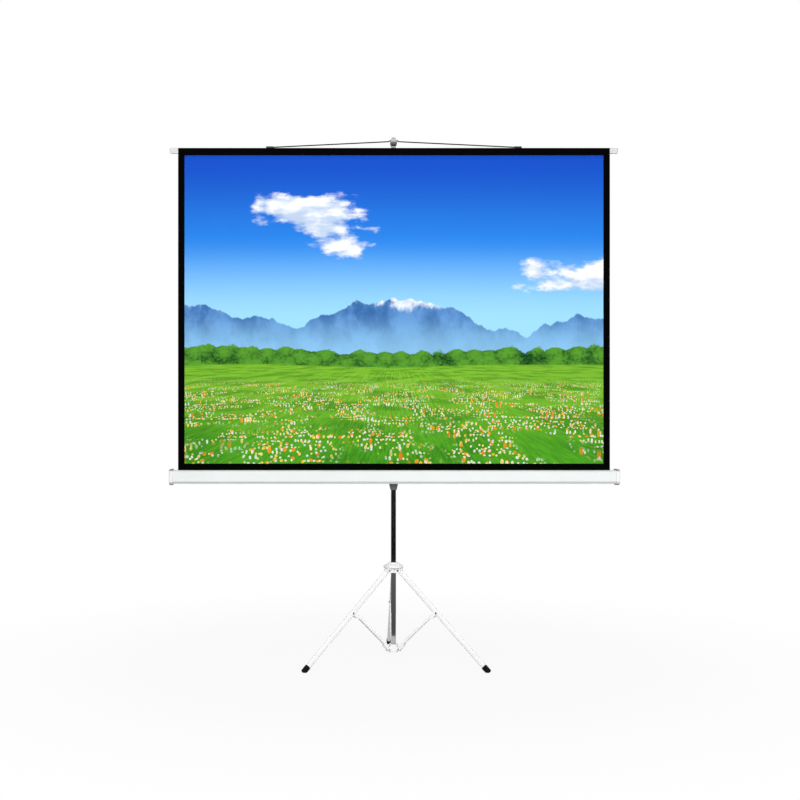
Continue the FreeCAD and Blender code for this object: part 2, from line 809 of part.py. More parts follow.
pocket(carriage, draw(carriage, "bore", "XY", [square("slide_half")]), None, both=True)
bolt_hole = draw(carriage, "bolt_hole", "XZ", circles=[("0", "0", "bolt_radius")])
pocket(carriage, bolt_hole, "2 * carriage_front + mast_side", back=True)
bolt_seat = draw(carriage, "bolt_seat", "XZ", circles=[("0", "0", "bolt_head_radius + cap_gap")])
pocket(carriage, bolt_seat, "slide_half + bolt_head_thick + cap_gap", back=True)
window = box_corners("-window_half", "-window_low", "window_half", "window_high")
pocket(carriage, draw(carriage, "window", "XZ", [window]), "2 * carriage_rear")
pin_bore = draw(carriage, "pin_bore", "YZ", circles=[("lever_y", "lever_pin_up", "lever_pin_radius")])
pocket(carriage, pin_bore, "4 * ear_inner", both=True)
place(carriage, pose(z="case_mid_z"))
keep(carriage)

# Release lever and its pin
lever = new_body("release_lever")
nose_y = "mast_half + lever_nose_gap"
lever_corners = [
    (nose_y, "lever_pin_up - lever_thick"),
    (nose_y, "lever_pin_up + lever_thick / 2"),
    ("lever_y - lever_thick", "lever_pin_up + lever_thick"),
    ("lever_y + lever_thick / 2", "lever_pin_up + lever_thick"),
    ("lever_y + lever_thick", "lever_pin_up"),
    ("lever_y + lever_knee_out", "lever_pin_up - lever_knee_drop"),
    ("lever_y + lever_out", "lever_pin_up - lever_drop"),
    ("lever_y + lever_out - lever_thick", "lever_pin_up - lever_drop"),
    ("lever_y + lever_thick / 2", "lever_pin_up - lever_knee_drop"),
    ("lever_y - lever_heel", "lever_pin_up - lever_thick"),
]
pad(lever, draw(lever, "side", "YZ", [lever_corners]), "2 * lever_half", both=True)
nose_cut = box_corners("lever_nose_half", "0", "2 * ear_inner", "carriage_rear + lever_shoulder_gap")
pocket(lever, draw(lever, "nose", "XY", [nose_cut, flip(nose_cut)]), None, both=True)
pivot = draw(lever, "pivot", "YZ",
             circles=[("lever_y", "lever_pin_up", "lever_pin_radius + pin_fit")])
pocket(lever, pivot, "4 * ear_inner", both=True)
place(lever, pose(z="case_mid_z"))
keep(lever)

lever_pin = rivet("lever_pin", "lever_pin_radius", "2 * (ear_inner + ear_thick)",
                  "lever_pin_head_radius", "lever_pin_head")
place(lever_pin, pose(y="lever_y", z="case_mid_z + lever_pin_up", axis="y", angle="90"))
keep(lever_pin)

# Pivot of the case: bolt, saddle plate, nut and rivets
bolt = turned("pivot_bolt", [
    ("0", "0"),
    ("bolt_head_radius", "0"),
    ("bolt_head_radius", "bolt_head_thick"),
    ("bolt_radius", "bolt_head_thick"),
    ("bolt_radius", "carriage_front + saddle_thick + case_wall + nut_thick + bolt_head_thick / 2"),
    ("0", "carriage_front + saddle_thick + case_wall + nut_thick + bolt_head_thick / 2"),
])
place(bolt, pose(y="-slide_half - cap_gap", z="case_mid_z", axis="x", angle="90"))
keep(bolt)

saddle = new_body("case_saddle")
plate = box_corners("-saddle_half", "-saddle_half_tall", "saddle_half", "saddle_half_tall")
pad(saddle, draw(saddle, "plate", "XZ", [plate], offset="-carriage_face"), "saddle_thick")
soften(saddle, "corners", "saddle_round", lambda edge: along(edge, "y"))
rivet_spots = [
    (f"{sx}saddle_rivet_out", f"{sz}saddle_rivet_up", "saddle_rivet_radius + saddle_rivet_fit")
    for sx in ("", "-") for sz in ("", "-")
]
bolt_spot = ("0", "0", "bolt_radius")
saddle_holes = draw(saddle, "holes", "XZ", circles=[bolt_spot] + rivet_spots)
pocket(saddle, saddle_holes, "-4 * carriage_face", both=True)
place(saddle, pose(z="case_mid_z"))
keep(saddle)

nut = new_body("pivot_nut")
flat = "nut_half_flat"
hexagon = [
    (f"{sx}({flat} / cos(30)){share}", f"{sz}{flat}{rise}") if rise != "0"
    else (f"{sx}({flat} / cos(30))", "0")
    for sx, sz, share, rise in (
        ("", "-", " / 2", ""), ("", "", "", "0"), ("", "", " / 2", ""),
        ("-", "", " / 2", ""), ("-", "", "", "0"), ("-", "-", " / 2", ""))
]
pad(nut, draw(nut, "hexagon", "XZ", [hexagon], [bolt_spot]), "nut_thick")
place(nut, pose(y="case_back - case_wall", z="case_mid_z"))
keep(nut)

saddle_rivets = []
for i, (out, up, _) in enumerate(rivet_spots, 1):
    piece = rivet(f"saddle_rivet_{i}", "saddle_rivet_radius", "saddle_thick + case_wall",
                  "saddle_rivet_head", "saddle_rivet_dome")
    place(piece, pose(out, "carriage_face - (saddle_thick + case_wall) / 2",
                      f"case_mid_z + ({up})", "x", "90"))
    saddle_rivets.append(piece)
keep(group("saddle_rivets", saddle_rivets))

# Case shell and its end caps
case_at = pose(y="case_mid_y", z="case_mid_z")
shell = new_body("case_shell")
pad(shell, draw(shell, "outside", "YZ", [octagon("0")]), "case_length", both=True)
soften(shell, "corners", "case_round", lambda edge: along(edge, "x"))
pocket(shell, draw(shell, "inside", "YZ", [octagon("case_wall")]), None, both=True)
slot_mid = "(cloth_y - case_mid_y)"
mouth = box_corners("-case_half", f"{slot_mid} - slot_width / 2", "case_half",
                    f"{slot_mid} + slot_width / 2")
pocket(shell, draw(shell, "mouth", "XY", [mouth]), "case_tall", back=True)
shell_holes = draw(shell, "holes", "XZ", circles=[bolt_spot] + rivet_spots)
pocket(shell, shell_holes, "case_depth")
screw_x = "(case_half - cap_plug / 2)"
screw_spots = [(f"{sx}{screw_x}", f"{sz}screw_spread") for sx in ("", "-") for sz in ("", "-")]
screw_holes = [(x, z, "screw_radius") for x, z in screw_spots]
pocket(shell, draw(shell, "screw_holes", "XZ", circles=screw_holes), "case_depth")
place(shell, case_at)
keep(shell)

for side, back in (("left", True), ("right", False)):
    cap = new_body("case_cap_" + side)
    sign = "-" if back else ""
    start = f"{sign}case_half"
    head = draw(cap, "head", "YZ", [octagon("-cap_lip")], offset=start)
    pad(cap, head, "cap_length", back=back)
    end_x = number(cap, f"{sign}(case_half + cap_length)")
    soften(cap, "rim", "cap_round", lambda edge: abs(middle(edge).x - end_x) < TINY)
    stem = draw(cap, "stem", "YZ", [octagon("case_wall + cap_gap")], offset=start)
    pad(cap, stem, "cap_plug", back=not back)
    fit = "spindle_radius" if back else "spindle_radius + spindle_fit"
    inner = f"{sign}(case_half - cap_plug)"
    bush_hole = draw(cap, "bush", "YZ", circles=[("-roller_forward", "0", fit)], offset=inner)
    pocket(cap, bush_hole, "cap_plug + cap_bush_depth", back=not back)
    screw_hole = [(f"{sign}{screw_x}", f"{sz}screw_spread", "screw_radius") for sz in ("", "-")]
    screw_sketch = draw(cap, "screw", "XZ", circles=screw_hole)
    pocket(cap, screw_sketch, "case_depth")
    place(cap, case_at)
    keep(cap)

cap_screws = []
for i, (out, up) in enumerate(screw_spots, 1):
    screw = turned(f"cap_screw_{i}", [
        ("0", "0"),
        ("screw_radius", "0"),
        ("screw_radius", "screw_length"),
        ("screw_head_radius", "screw_length"),
        ("screw_head_radius", "screw_length + screw_head_thick * screw_edge_share"),
        ("screw_head_radius * screw_edge_share", "screw_length + screw_head_thick"),
        ("0", "screw_length + screw_head_thick"),
    ])
    place(screw, pose(out, "case_back - screw_length", f"case_mid_z + ({up})", "x", "-90"))
    cap_screws.append(screw)
keep(group("cap_screws", cap_screws))

# Spindle that the spring winds on, held still by the left cap
roller_at = pose(y="roller_y", z="case_mid_z", axis="y", angle="90")


def rod(label, inner, outer, start, end):
    """A round piece along X, from start to end, solid or with a bore."""
    body = new_body(label)
    rings = [("0", "0", outer)]
    if inner is not None:
        rings.append(("0", "0", inner))
    pad(body, draw(body, "section", "XY", circles=rings, offset=start), f"({end}) - ({start})")
    place(body, roller_at)
    return keep(body)


spindle_start = "(-case_half - cap_bush_depth + spindle_fit)"
spindle_end = f"({spindle_start} + spindle_length)"
running = "spindle_radius + spindle_fit"
rod("spring_spindle", None, "spindle_radius", spindle_start, spindle_end)
collar_start = "(-roller_half + plug_length + cloth_gap)"
collar_end = f"({collar_start} + spindle_collar_length)"
rod("spindle_collar", "spindle_radius", "spindle_collar_radius", collar_start, collar_end)

# Roller, which turns round the spindle with the spring and the cloth wound on it
anchor_end = f"({spindle_end} - anchor_inset)"
anchor_start = f"({anchor_end} - anchor_length)"
bore = "roller_radius - roller_wall"
rod("roller_tube", bore, "roller_radius", "-roller_half", "roller_half")
rod("roller_plug_left", running, bore, "-roller_half", "-roller_half + plug_length")
rod("spring_anchor", running, bore, anchor_start, anchor_end)
rod("roller_spring", "spring_inner", "spring_outer", f"{collar_end} + cloth_gap", anchor_start)
rod("cloth_roll", "roller_radius", "roll_radius", "-cloth_width / 2", "cloth_width / 2")
stub = turned("roller_plug_right", [
    ("0", "roller_half - plug_length"),
    (bore, "roller_half - plug_length"),
    (bore, "roller_half"),
    ("spindle_radius", "roller_half"),
    ("spindle_radius", "case_half + cap_bush_depth - cloth_gap"),
    ("0", "case_half + cap_bush_depth - cloth_gap"),
])
place(stub, roller_at)
keep(stub)

# Screen cloth and the hem that wraps the slat
sheet = doc.addObject("Part::Box", "screen_cloth")
sheet.Label = "screen_cloth"
bind(sheet, "Length", "cloth_width")
bind(sheet, "Width", "cloth_thick")
bind(sheet, "Height", "hem_base - case_mid_z")
place(sheet, pose("-cloth_width / 2", "cloth_y - cloth_thick / 2", "case_mid_z"))
keep(sheet)

hem = new_body("screen_hem")
front = "(cloth_y - cloth_thick / 2)"
inside = "(cloth_y + cloth_thick / 2)"
hem_low = "(slat_top - slat_tall - slat_gap)"
hem_outside = [
    (front, "hem_base"),
    (front, "hem_top"),
    ("hem_back + cloth_thick", "hem_top"),
    ("hem_back + cloth_thick", hem_low),
    (f"{inside} + cloth_thick", "hem_base + hem_seam"),
    (f"{inside} + cloth_thick", "hem_base"),
]
hem_inside = [
    (inside, "hem_base + hem_seam"),
    (inside, "hem_top - cloth_thick"),
    ("hem_back", "hem_top - cloth_thick"),
    ("hem_back", hem_low),
]
pad(hem, draw(hem, "section", "YZ", [hem_outside, hem_inside]), "cloth_width", both=True)
keep(hem)

# Top slat and its caps
slat_at = pose(y="slat_mid_y", z="slat_mid_z")
slat = new_body("top_slat")


def slat_box(inset):
    deep = f"(slat_depth / 2 - ({inset}))"
    tall = f"(slat_tall / 2 - ({inset}))"
    return box_corners(f"-{deep}", f"-{tall}", deep, tall)


pad(slat, draw(slat, "outside", "YZ", [slat_box("0")]), "cloth_width", both=True)
soften(slat, "corners", "slat_wall", lambda edge: along(edge, "x"))
pocket(slat, draw(slat, "inside", "YZ", [slat_box("slat_wall")]), None, both=True)
rivet_x = "bail_half + bracket_length / 2"
rivet_step = "bracket_length * bracket_rivet_share"
rivet_xs = [f"{sign}({rivet_x} {way} {rivet_step})" for sign in ("", "-") for way in "+-"]
rivet_z = "(hem_top - bracket_rivet_drop)"
slat_holes = [(x, f"{rivet_z} - slat_mid_z", "small_rivet_radius") for x in rivet_xs]
pocket(slat, draw(slat, "holes", "XZ", circles=slat_holes), "slat_depth")
place(slat, slat_at)
keep(slat)
hem_holes = [(x, rivet_z, "small_rivet_radius") for x in rivet_xs]
pocket(hem, draw(hem, "holes", "XZ", circles=hem_holes, offset="-slat_mid_y"), "slat_depth")

for side, back in (("left", True), ("right", False)):
    cap = new_body("slat_cap_" + side)
    start = "-cloth_width / 2" if back else "cloth_width / 2"
    pad(cap, draw(cap, "head", "YZ", [slat_box("-slat_cap_lip")], offset=start),
        "slat_cap_length", back=back)
    end_x = number(cap, "cloth_width / 2 + slat_cap_length")
    soften(cap, "rim", "slat_cap_round", lambda edge: abs(abs(middle(edge).x) - end_x) < TINY)
    pad(cap, draw(cap, "stem", "YZ", [slat_box("slat_wall")], offset=start),
        "slat_cap_plug", back=not back)
    place(cap, slat_at)
    keep(cap)

# Bail brackets on the slat, their rivets, and the wire bail
for side, sign in (("left", "-"), ("right", "")):
    bracket = new_body("bail_bracket_" + side)
    start = "bail_half" if sign == "" else "-bail_half - bracket_length"
    back_y = "(hem_back + cloth_thick - bail_y)"
    plate = [
        (f"-{back_y} + bracket_plate", "-bail_lift"),
        (back_y, "-bail_lift"),
        (back_y, "-bail_lift - bracket_leg"),
        (f"{back_y} + bracket_plate", "-bail_lift - bracket_leg"),
        (f"{back_y} + bracket_plate", "bracket_plate - bail_lift"),
        (f"-{back_y} + bracket_plate", "bracket_plate - bail_lift"),
    ]
    pad(bracket, draw(bracket, "plate", "YZ", [plate], offset=start), "bracket_length")
    barrel = draw(bracket, "barrel", "YZ", circles=[("0", "0", "barrel_radius")], offset=start)
    pad(bracket, barrel, "bracket_length")
    web = box_corners("-barrel_radius", "-bail_lift + bracket_plate / 2", "barrel_radius", "0")
    pad(bracket, draw(bracket, "web", "YZ", [web], offset=start), "bracket_length")
    bore = draw(bracket, "bore", "YZ", circles=[("0", "0", "wire_radius + wire_fit")], offset=start)
    pocket(bracket, bore, "bracket_length", back=True)
    holes = [(x, f"{rivet_z} - bail_z", "small_rivet_radius")
             for x in rivet_xs if x.startswith("-") == (sign == "-")]
    pocket(bracket, draw(bracket, "holes", "XZ", circles=holes), "2 * slat_depth")
    place(bracket, pose(y="bail_y", z="bail_z"))
    keep(bracket)

bracket_rivets = []
skin = "(slat_wall + slat_gap + cloth_thick + bracket_plate)"
for i, x in enumerate(rivet_xs, 1):
    piece = rivet(f"bracket_rivet_{i}", "small_rivet_radius", skin,
                  "small_rivet_head", "small_rivet_dome")
    place(piece, pose(x, f"hem_back + cloth_thick + bracket_plate - {skin} / 2",
                      rivet_z, "x", "90"))
    bracket_rivets.append(piece)
keep(group("bracket_rivets", bracket_rivets))

bail = new_body("wire_bail")
bend = "bail_flat + bail_kink"
tail = "bail_half + bracket_length"
right_path = [
    ("bail_flat", "bail_rise"),
    (bend, "bail_rise - bail_drop"),
    ("bail_half - barrel_radius", "0"),
    (tail, "0"),
]
path_points = flip(right_path) + right_path
path = bail.newObject("Sketcher::SketchObject", "wire_bail_path")
path.AttachmentSupport = [(origin_part(bail, "XZ_Plane"), "")]
path.MapMode = "FlatFace"
spots = [FreeCAD.Vector(number(path, u), number(path, v), 0) for u, v in path_points]
for start, end in zip(spots, spots[1:]):
    path.addGeometry(Part.LineSegment(start, end), False)
last = len(path_points) - 2
for i in range(last):
    path.addConstraint(Sketcher.Constraint("Coincident", i, 2, i + 1, 1))
for i, (u, v) in enumerate(path_points):
    hold(path, min(i, last), 1 if i <= last else 2, u, v)
wire = draw(bail, "wire", "YZ", circles=[("0", "0", "wire_radius")], offset=f"-({tail})")
doc.recompute()
pipe = bail.newObject("PartDesign::AdditivePipe", "wire_bail_pipe")
pipe.Profile = wire
pipe.Spine = (path, [f"Edge{i}" for i in range(1, last + 2)])
pipe.Transition = "Round corner"
place(bail, pose(y="bail_y", z="bail_z", axis="x", angle="-bail_lean"))
keep(bail)

# Extension tube, its glide, and the hook on its top
tube = new_body("extension_tube")
tube_end = draw(tube, "outside", "XY", [square("extension_half")], offset="extension_base")
pad(tube, tube_end, "extension_length")
soften(tube, "corners", "extension_corner", lambda edge: along(edge, "z"))
pocket(tube, draw(tube, "bore", "XY", [square("extension_bore_half")]), None, both=True)
hook_rivet_z = "(extension_top - hook_plug / 2)"
tube_holes = draw(tube, "holes", "YZ", circles=[("0", hook_rivet_z, "small_rivet_radius")])
pocket(tube, tube_holes, "2 * extension_side", both=True)
keep(tube)

glide = new_body("extension_glide")
glide_head = draw(glide, "head", "XY", [square("mast_bore_half - glide_fit")], offset="-glide_head")
pad(glide, glide_head, "glide_head")
soften(glide, "corners", "extension_corner", lambda edge: along(edge, "z"))
pad(glide, draw(glide, "stem", "XY", [square("extension_bore_half")]), "glide_plug")
place(glide, pose(z="extension_base"))
keep(glide)

hook = new_body("hanger_hook")
seat_y = "(-seat_reach)"
lip_in = "(bail_lean - lip_start_angle * 1 deg)"
lip_out = "(bail_lean - lip_end_angle * 1 deg)"
lip_spots = [
    (f"bail_y + lip_radius * sin({turn})", f"bail_z - seat_z + lip_radius * cos({turn})")
    for turn in (lip_in, lip_out)
]
side_corners = [
    ("extension_half", "-hook_neck"),
    ("extension_half", "0"),
    ("hook_back", "hook_tip"),
    (f"{seat_y} + seat_half * tip_front_share", "hook_tip"),
    (f"{seat_y} + seat_half", "hook_tip / 2"),
    (f"{seat_y} + seat_half", "-seat_half"),
    (f"{seat_y} - seat_half * seat_lip_share", "-seat_half"),
    lip_spots[0],
    lip_spots[1],
    (f"{seat_y} - hook_lip", "-seat_half * 2"),
    (f"{seat_y} - seat_half", "-hook_neck * neck_mid_share"),
    ("-extension_half", "-hook_neck * neck_low_share"),
    ("-extension_half", "-hook_neck"),
]
pad(hook, draw(hook, "side", "YZ", [side_corners]), "2 * hook_half_wide", both=True)
trim_corners = [
    ("hook_half_neck", "-hook_neck - cut_over"),
    ("hook_half_neck", "-hook_neck * neck_low_share"),
    ("hook_half_wide", "-hook_neck * neck_wide_share"),
    ("hook_half_wide", "-hook_neck * neck_top_share"),
    ("hook_half_seat", "-seat_half"),
    ("hook_half_seat * seat_top_share", "hook_tip * tip_low_share"),
    ("hook_half_tip", "hook_tip"),
    ("hook_half_tip", "hook_tip + cut_over"),
    ("hook_half_wide + cut_over", "hook_tip + cut_over"),
    ("hook_half_wide + cut_over", "-hook_neck - cut_over"),
]
trim = draw(hook, "trim", "XZ", [trim_corners, flip(trim_corners)])
pocket(hook, trim, None, both=True)
hook_stem = draw(hook, "stem", "XY", [square("extension_bore_half")], offset="-hook_neck")
pad(hook, hook_stem, "hook_plug", back=True)
hook_hole = draw(hook, "hole", "YZ",
                 circles=[("0", "-hook_neck - hook_plug / 2", "small_rivet_radius")])
pocket(hook, hook_hole, "2 * extension_side", both=True)
place(hook, pose(z="seat_z"))
keep(hook)

hook_rivet = rivet("hook_rivet", "small_rivet_radius", "extension_side",
                   "small_rivet_head", "small_rivet_dome")
place(hook_rivet, pose(z=hook_rivet_z, axis="y", angle="90"))
keep(hook_rivet)

# Check every object, then write one file per piece
doc.recompute()
faults = []
for item in doc.Objects:
    if "Invalid" in item.State or "Error" in item.State:
        faults.append(f"{item.Label}: {item.State}")
for piece in NODES:
    if piece.Shape.isNull() or not piece.Shape.isValid() or not piece.Shape.Solids:
        faults.append(f"{piece.Label}: no valid solid")
if faults:
    raise RuntimeError("\n".join(faults))
os.makedirs("parts", exist_ok=True)
for piece in NODES:
    piece.Shape.exportStep(f"parts/{piece.Label}.step")
    box = piece.Shape.BoundBox
    print(f"{piece.Label}: {len(piece.Shape.Solids)} solid, {piece.Shape.Volume / 1000:.2f} cm3, "
          f"X {box.XMin:.1f}..{box.XMax:.1f} Y {box.YMin:.1f}..{box.YMax:.1f} "
          f"Z {box.ZMin:.1f}..{box.ZMax:.1f}")
print(len(NODES), "pieces")
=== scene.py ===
# Tripod projection screen: finishes, cloth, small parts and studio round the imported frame.
# Lengths are metres, and angles are radians unless a name says degrees.
import bpy
import json
import math
from mathutils import Matrix, Vector


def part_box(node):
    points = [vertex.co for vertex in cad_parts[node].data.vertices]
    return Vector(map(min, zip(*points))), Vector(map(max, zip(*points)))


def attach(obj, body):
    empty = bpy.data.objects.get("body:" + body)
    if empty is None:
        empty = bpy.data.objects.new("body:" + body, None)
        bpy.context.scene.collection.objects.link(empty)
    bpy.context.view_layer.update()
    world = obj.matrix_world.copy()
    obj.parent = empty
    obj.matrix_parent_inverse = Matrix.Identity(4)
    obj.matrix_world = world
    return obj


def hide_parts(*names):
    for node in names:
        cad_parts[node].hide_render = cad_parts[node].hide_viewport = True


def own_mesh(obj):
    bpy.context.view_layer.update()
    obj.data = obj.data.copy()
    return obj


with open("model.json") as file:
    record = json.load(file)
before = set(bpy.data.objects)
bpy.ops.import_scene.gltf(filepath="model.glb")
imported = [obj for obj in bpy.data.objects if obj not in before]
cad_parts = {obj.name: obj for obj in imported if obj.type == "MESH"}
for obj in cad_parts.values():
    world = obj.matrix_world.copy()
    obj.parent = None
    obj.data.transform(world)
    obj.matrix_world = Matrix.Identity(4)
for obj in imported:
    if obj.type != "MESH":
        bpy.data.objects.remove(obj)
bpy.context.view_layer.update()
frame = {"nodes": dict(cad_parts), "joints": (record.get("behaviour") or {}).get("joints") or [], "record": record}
nodes = frame["nodes"]
joints = {joint["name"]: joint for joint in frame["joints"]}
scene = bpy.context.scene

# Camera: level, in front of the screen and a little to its left, with an 800 pixel square picture
PICTURE_PIXELS = 800
FOCAL_PIXELS = 1344.5
CENTRE_PIXEL = 325.0
EYE = (-0.28, -5.501, 1.073)
SENSOR_MM = 36.0

# Places read from the frame
cloth_low, cloth_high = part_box("screen_cloth")
case_low, case_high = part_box("case_shell")
hem_low, hem_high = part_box("screen_hem")
slat_low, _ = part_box("top_slat")
roll_low, roll_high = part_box("cloth_roll")
screw_low, screw_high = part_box("cap_screws")
lever_low, lever_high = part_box("release_lever")

# The picture inside its black border
BORDER_SIDE = 0.0265
BORDER_LOW = 0.0265
BORDER_SOFT = 0.0006
picture_half = cloth_high[0] - BORDER_SIDE
picture_base = case_high[2] + BORDER_LOW
picture_top = cloth_high[2]

# The cloth, with a faint wave: half waves across and up, and how far they lean over from foot to top
CLOTH_THICK = 0.0005
CLOTH_COLUMNS = 72
CLOTH_ROWS = 54
CLOTH_WAVE = 0.0011
HALF_WAVES_ACROSS = 3
HALF_WAVES_UP = 2.2
WAVE_LEAN = 1.4
THREAD = 0.0011

# The hem and the turns of cloth on the roller
HEM_BEND = 0.0016
HEM_BEND_STEPS = 6
HEM_COLUMNS = 48
SEAM_RISE = 0.004
ROLL_TURNS = 2
ROLL_STEPS = 48
ROLL_STEP_IN = 0.00058

# One bead, for a stitch or a grip rib
BEAD_SIDES = 8
BEAD_BANDS = 6

# Stitches along the foot of the hem
STITCH_STEP = 0.0042
STITCH_SIZE = (0.0032, 0.0006, 0.0007)
STITCH_RISE = 0.0035

# Ribs moulded on the release lever. The ray that finds its outer face starts behind it.
LEVER_RIBS = 7
LEVER_RIB_LOW = 0.005
LEVER_RIB_HIGH = 0.029
LEVER_RIB_SHARE = 0.74
LEVER_RIB_THICK = 0.0017
LEVER_RIB_TALL = 0.0020
LEVER_RAY_START = 1.0

# Ribs round the rubber feet. The round share is just under half the width, so the ends are round.
FOOT_LENGTH = 0.032
FOOT_WIDTH = 0.0175
FOOT_DEPTH = 0.024
FOOT_RIBS = 4
FOOT_RIB_START = 0.0042
FOOT_RIB_STEP = 0.0036
FOOT_RIB_BEAD = 0.0007
FOOT_RIB_SIDES = 8
FOOT_RIB_ROUND = 0.499
FOOT_RIB_ROUND_STEPS = 7

# Screws of the end caps. The dome is a share of the head's rise, and the cross is as long as its radius
# times a factor.
SCREW_HEAD = 0.004
SCREW_RISE = 0.0022
SCREW_SHANK = 0.002
SCREW_RECESS = 0.0011
SCREW_DOME = 0.55
SCREW_CROSS = 1.1
SCREW_HEAD_SIDES = 24
SCREW_HEAD_BANDS = 4
SCREW_SHANK_SIDES = 12


class Wires:
    """Short calls that add nodes to one tree and link them."""

    def __init__(self, tree):
        self.tree = tree

    def add(self, kind, **settings):
        node = self.tree.nodes.new(kind)
        for name, value in settings.items():
            setattr(node, name, value)
        return node

    def feed(self, socket, value):
        """Link an output to an input, or set the input to a plain value."""
        if isinstance(value, bpy.types.NodeSocket):
            self.tree.links.new(value, socket)
        else:
            socket.default_value = value

    def fill(self, node, **values):
        """Feed a node's inputs by name, with spaces for underscores."""
        for name, value in values.items():
            self.feed(node.inputs[name.replace("_", " ").title()], value)
        return node.outputs

    def math(self, operation, *values):
        node = self.add("ShaderNodeMath", operation=operation)
        for socket, value in zip(node.inputs, values):
            self.feed(socket, value)
        return node.outputs[0]

    def product(self, *values):
        total = values[0]
        for value in values[1:]:
            total = self.math("MULTIPLY", total, value)
        return total

    def ease(self, value, start, end, low=0.0, high=1.0):
        """A smooth step from low to high as a value goes from start to end."""
        node = self.add("ShaderNodeMapRange", interpolation_type="SMOOTHSTEP")
        return self.fill(node, value=value, from_min=start, from_max=end, to_min=low, to_max=high)[0]

    def span(self, value, start, end, low=0.0, high=1.0):
        """A straight, clamped map of start..end to low..high."""
        node = self.add("ShaderNodeMapRange")
        return self.fill(node, value=value, from_min=start, from_max=end, to_min=low, to_max=high)[0]

    def mix(self, share, first, second):
        node = self.add("ShaderNodeMix", data_type="RGBA")
        self.feed(node.inputs[0], share)
        self.feed(node.inputs[6], first)
        self.feed(node.inputs[7], second)
        return node.outputs[2]

    def join(self, x=0.0, y=0.0, z=0.0):
        node = self.add("ShaderNodeCombineXYZ")
        return self.fill(node, x=x, y=y, z=z)[0]

    def split(self, vector):
        node = self.add("ShaderNodeSeparateXYZ")
        self.feed(node.inputs[0], vector)
        return node.outputs

    def noise(self, vector, scale, detail, rough):
        node = self.add("ShaderNodeTexNoise")
        return self.fill(node, vector=vector, scale=scale, detail=detail, roughness=rough)[0]

    def spots(self, vector):
        """How far the nearest of many scattered spots on a plane is."""
        node = self.add("ShaderNodeTexVoronoi", voronoi_dimensions="2D")
        return self.fill(node, vector=vector, scale=1.0)["Distance"]

    def stretch(self, vector, scale):
        return self.fill(self.add("ShaderNodeMapping"), vector=vector, scale=scale)[0]

    def bump(self, height, strength, distance):
        node = self.add("ShaderNodeBump")
        return self.fill(node, height=height, strength=strength, distance=distance)[0]

    def place(self):
        return self.add("ShaderNodeTexCoord").outputs["Object"]


def paint(colour):
    return (*colour, 1.0)


# Effects that several finishes share. A noise is its scale, detail and roughness, and a patch or a grain
# has its scale from the finish. Edges are the values between which an effect comes in.
PATCH_NOISE = (4.0, 0.6)
PATCH_EDGES = (0.3, 0.7)
GRAIN_NOISE = (3.0, 0.6)
DUST_SLOPES = (0.25, 0.95)
DUST_NOISE = (60.0, 5.0, 0.7)
DUST_EDGES = (0.35, 0.75)
WEAR_SAMPLES = 4
WEAR_BENDS = (0.93, 0.76)
WEAR_NOISE = (170.0, 4.0, 0.65)
WEAR_EDGES = (0.40, 0.62)
DRAWN_NOISE = (1.0, 6.0, 0.7)
DRAWN_EDGES = (0.3, 0.7)
SLUB_STRETCH = (40.0, 40.0, 700.0)
SLUB_NOISE = (1.0, 3.0, 0.6)


def shade_group(name, inputs, outputs):
    """An empty shader node group with named sockets: its wires, inputs and outputs."""
    tree = bpy.data.node_groups.new(name, "ShaderNodeTree")
    for label, kind in inputs:
        tree.interface.new_socket(label, in_out="INPUT", socket_type="NodeSocket" + kind)
    for label in outputs:
        tree.interface.new_socket(label, in_out="OUTPUT", socket_type="NodeSocketFloat")
    wires = Wires(tree)
    return wires, wires.add("NodeGroupInput").outputs, wires.add("NodeGroupOutput").inputs


def build_surface_group():
    """Broad patches of handling and a fine moulding or paint grain."""
    inputs = [("Place", "Vector"), ("Patch Scale", "Float"), ("Grain Scale", "Float")]
    wires, given, result = shade_group("surface_grain", inputs, ["Patch", "Grain"])
    patch = wires.noise(given["Place"], given["Patch Scale"], *PATCH_NOISE)
    wires.feed(result["Patch"], wires.ease(patch, *PATCH_EDGES))
    wires.feed(result["Grain"], wires.noise(given["Place"], given["Grain Scale"], *GRAIN_NOISE))
    return wires.tree


def build_dust_group():
    """Dust that settles where a face looks up."""
    inputs = [("Place", "Vector"), ("Amount", "Float")]
    wires, given, result = shade_group("settled_dust", inputs, ["Dust"])
    facing = wires.add("ShaderNodeNewGeometry").outputs["Normal"]
    up = wires.ease(wires.split(facing)[2], *DUST_SLOPES)
    drift = wires.ease(wires.noise(given["Place"], *DUST_NOISE), *DUST_EDGES)
    wires.feed(result["Dust"], wires.product(up, drift, given["Amount"]))
    return wires.tree


def build_wear_group():
    """Rubbed edges: where a rounded normal leaves the face's own, broken up by noise."""
    inputs = [("Place", "Vector"), ("Reach", "Float"), ("Amount", "Float")]
    wires, given, result = shade_group("rubbed_edges", inputs, ["Wear"])
    rounded = wires.fill(wires.add("ShaderNodeBevel", samples=WEAR_SAMPLES), radius=given["Reach"])[0]
    facing = wires.add("ShaderNodeNewGeometry").outputs["Normal"]
    alike = wires.add("ShaderNodeVectorMath", operation="DOT_PRODUCT")
    wires.feed(alike.inputs[0], rounded)
    wires.feed(alike.inputs[1], facing)
    edge = wires.ease(alike.outputs["Value"], *WEAR_BENDS)
    broken = wires.ease(wires.noise(given["Place"], *WEAR_NOISE), *WEAR_EDGES)
    wires.feed(result["Wear"], wires.product(edge, broken, given["Amount"]))
    return wires.tree


def build_drawn_group():
    """Fine lines left by drawing or brushing, along a direction set by the place's scale."""
    wires, given, result = shade_group("drawn_lines", [("Place", "Vector")], ["Lines"])
    wires.feed(result["Lines"], wires.ease(wires.noise(given["Place"], *DRAWN_NOISE), *DRAWN_EDGES))
    return wires.tree


